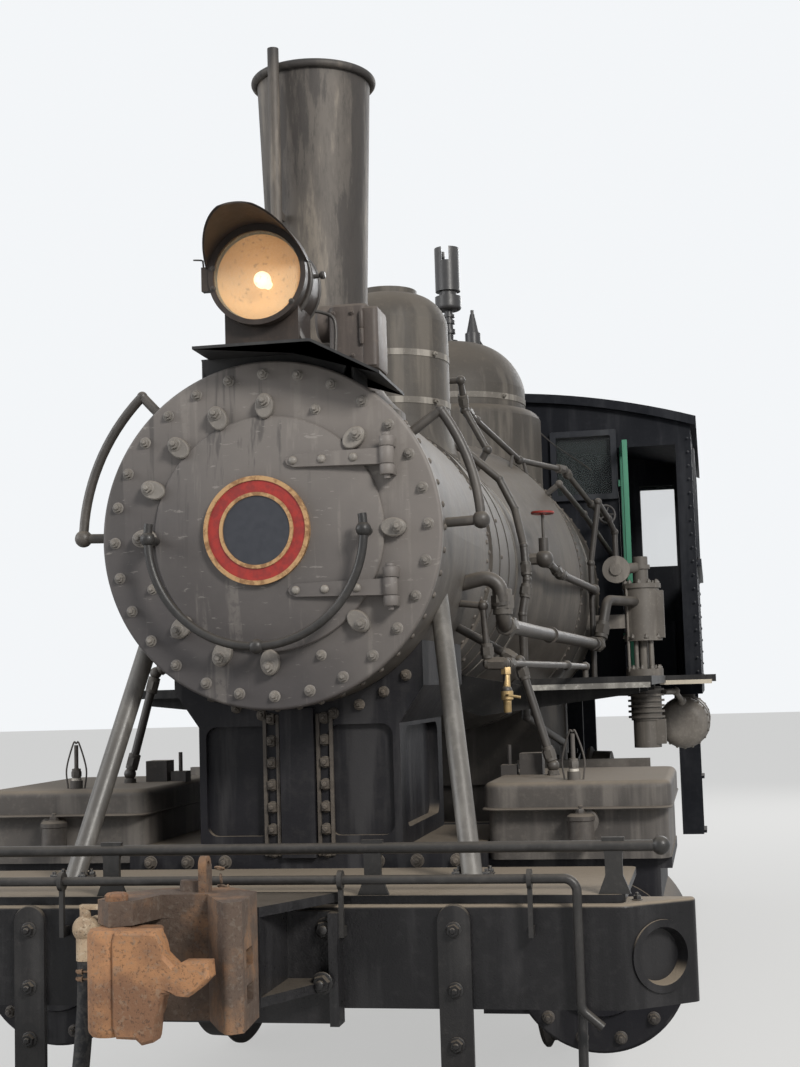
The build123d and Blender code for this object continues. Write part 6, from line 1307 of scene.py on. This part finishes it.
# %% Nuts of the crank pins
CRANK_THROW = 0.305
AXLES = {"front": -1.150, "rear": 1.750}
AXLE_Z = 0.587
CRANK_ANGLES = {1: np.radians(235.0), -1: np.radians(325.0)}
hub_colours = ((0.050, 0.046, 0.042), (0.120, 0.105, 0.090))
hub_paint = paint("hub_paint", *hub_colours, 0.55, 0.4, 0.3, 0.3, 60.0, metal=0.3)
pin_end = turned([(0.018, 0), (0.018, 0.007), (0.014, 0.0075)], 14)
pin_nut = join(nut(0.052, 0.006, washer=0.66, stud=0), pin_end)
for axle, y in AXLES.items():
    pins = []
    for sign, a in CRANK_ANGLES.items():
        pin = (sign * 0.945, y + CRANK_THROW * np.cos(a), AXLE_Z + CRANK_THROW * np.sin(a))
        pins.append(stand(pin_nut, [pin], (sign, 0, 0)))
    piece("pin_nuts_" + axle, join(*pins), hub_paint, "wheelset_" + axle)

# %% [markdown]
# The knuckle is the coupler's finger. Its nose has a scallop above and below, which leaves a hook
# in the middle, and it turns on a barrel between the head's lugs. The nose is its own front view
# raised to its depth, in front of the barrel and the tail.

# %% Knuckle
nose_line = [(-0.090, 0.968), (0.002, 0.968), (0.016, 0.938), (0.022, 0.909), (0.053, 0.879), (0.074, 0.890)]
nose_line += [(0.144, 0.890), (0.147, 0.849), (0.122, 0.824), (0.089, 0.800), (0.070, 0.801), (0.051, 0.811)]
nose_line += [(0.023, 0.805), (0.010, 0.777), (0.008, 0.758), (-0.002, 0.738), (-0.008, 0.684)]
nose_line += [(-0.040, 0.676)]
nose_line += [(-0.056, 0.690), (-0.110, 0.692), (-0.120, 0.720), (-0.120, 0.940), (-0.112, 0.966)]
NOSE_FRONT = -4.298
nose = np.array(nose_line[::-1]) - (-0.030, 0.840)
front_barrel = turned([(0.044, 0.0), (0.052, 0.010), (0.054, 0.020), (0.054, 0.262), (0.046, 0.276)], 40)
barrel = turned([(0.046, 0.0), (0.054, 0.008), (0.054, 0.222), (0.046, 0.230)], 40)
pin_head = turned([(0.022, 0.0), (0.022, 0.070), (0.031, 0.072), (0.032, 0.090), (0.026, 0.096)], 28)
knuckle_parts = [
    stand(pad(nose, 0.074, 0.010), [(-0.030, NOSE_FRONT + 0.075, 0.840)], (0, -1, 0)),
    upright(front_barrel, (-0.150, -4.238, 0.692)),
    upright(barrel, (-0.150, -4.170, 0.736)),
    upright(pad(rounded(0.130, 0.100, 0.020), 0.222, 0.006), (-0.092, -4.172, 0.740)),
    upright(pin_head, (-0.150, -4.170, 0.957)),
]
knuckle = piece("knuckle_hooked", join(*knuckle_parts), knuckle_rust)
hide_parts("coupler_knuckle")

# %% [markdown]
# The running boards' front edges are bare wood under old white paint, speckled on the narrow board
# and cream on the wide one, so each edge is a thin strip with its own finish.

# %% Edges of the running boards
white_chips = paint("board_edge_chips", (0.060, 0.055, 0.050), (0.62, 0.60, 0.55), 0.35, 0.2, 0.2, 0.6, 60.0)
cream = paint("board_edge_cream", (0.58, 0.52, 0.42), (0.40, 0.35, 0.28), 0.35, 0.3, 0.3, 0.4, 50.0)
narrow_edge = stand(pad(rounded(0.552, 0.024, 0.003), 0.004, 0.001), [place(0.918, 1.850, 1.5325)])
piece("board_edge_narrow", narrow_edge, white_chips)
wide_edge = stand(pad(rounded(0.290, 0.024, 0.003), 0.004, 0.001), [place(1.3115, 3.950, 1.5325)])
piece("board_edge_wide", wide_edge, cream)

# %% [markdown]
# The floor is a plain pale plane under the flanges. It only carries the shadows, and a part of what
# the camera sees of it is its own light, so that it stays pale where the lamps are weak.

# %% Floor and closing lines
FLOOR_HALF = 60.0
OWN_LIGHT = 0.62


def floor():
    """Mixes the lit floor with its own light; the share is OWN_LIGHT for a camera ray, else 0."""
    f = Finish("pale_floor")
    f.set(Base_Color=(0.55, 0.54, 0.52), Roughness=0.9)
    own = f.add("Emission", {}, {"Color": (0.80, 0.80, 0.79), "Strength": 1.0})
    mixed = f.add("MixShader", {}, {0: f.ray("Camera") * OWN_LIGHT, 1: f.lit, 2: own})
    f.join(f.out.inputs[0], mixed)
    mesh = bpy.data.meshes.new("floor")
    corners = [(x * FLOOR_HALF, y * FLOOR_HALF, 0) for x, y in ((-1, -1), (1, -1), (1, 1), (-1, 1))]
    mesh.from_pydata(corners, [], [(0, 1, 2, 3)])
    mesh.materials.append(f.material)
    linked("floor", mesh)


floor()
bpy.context.scene.view_settings.view_transform = "Standard"
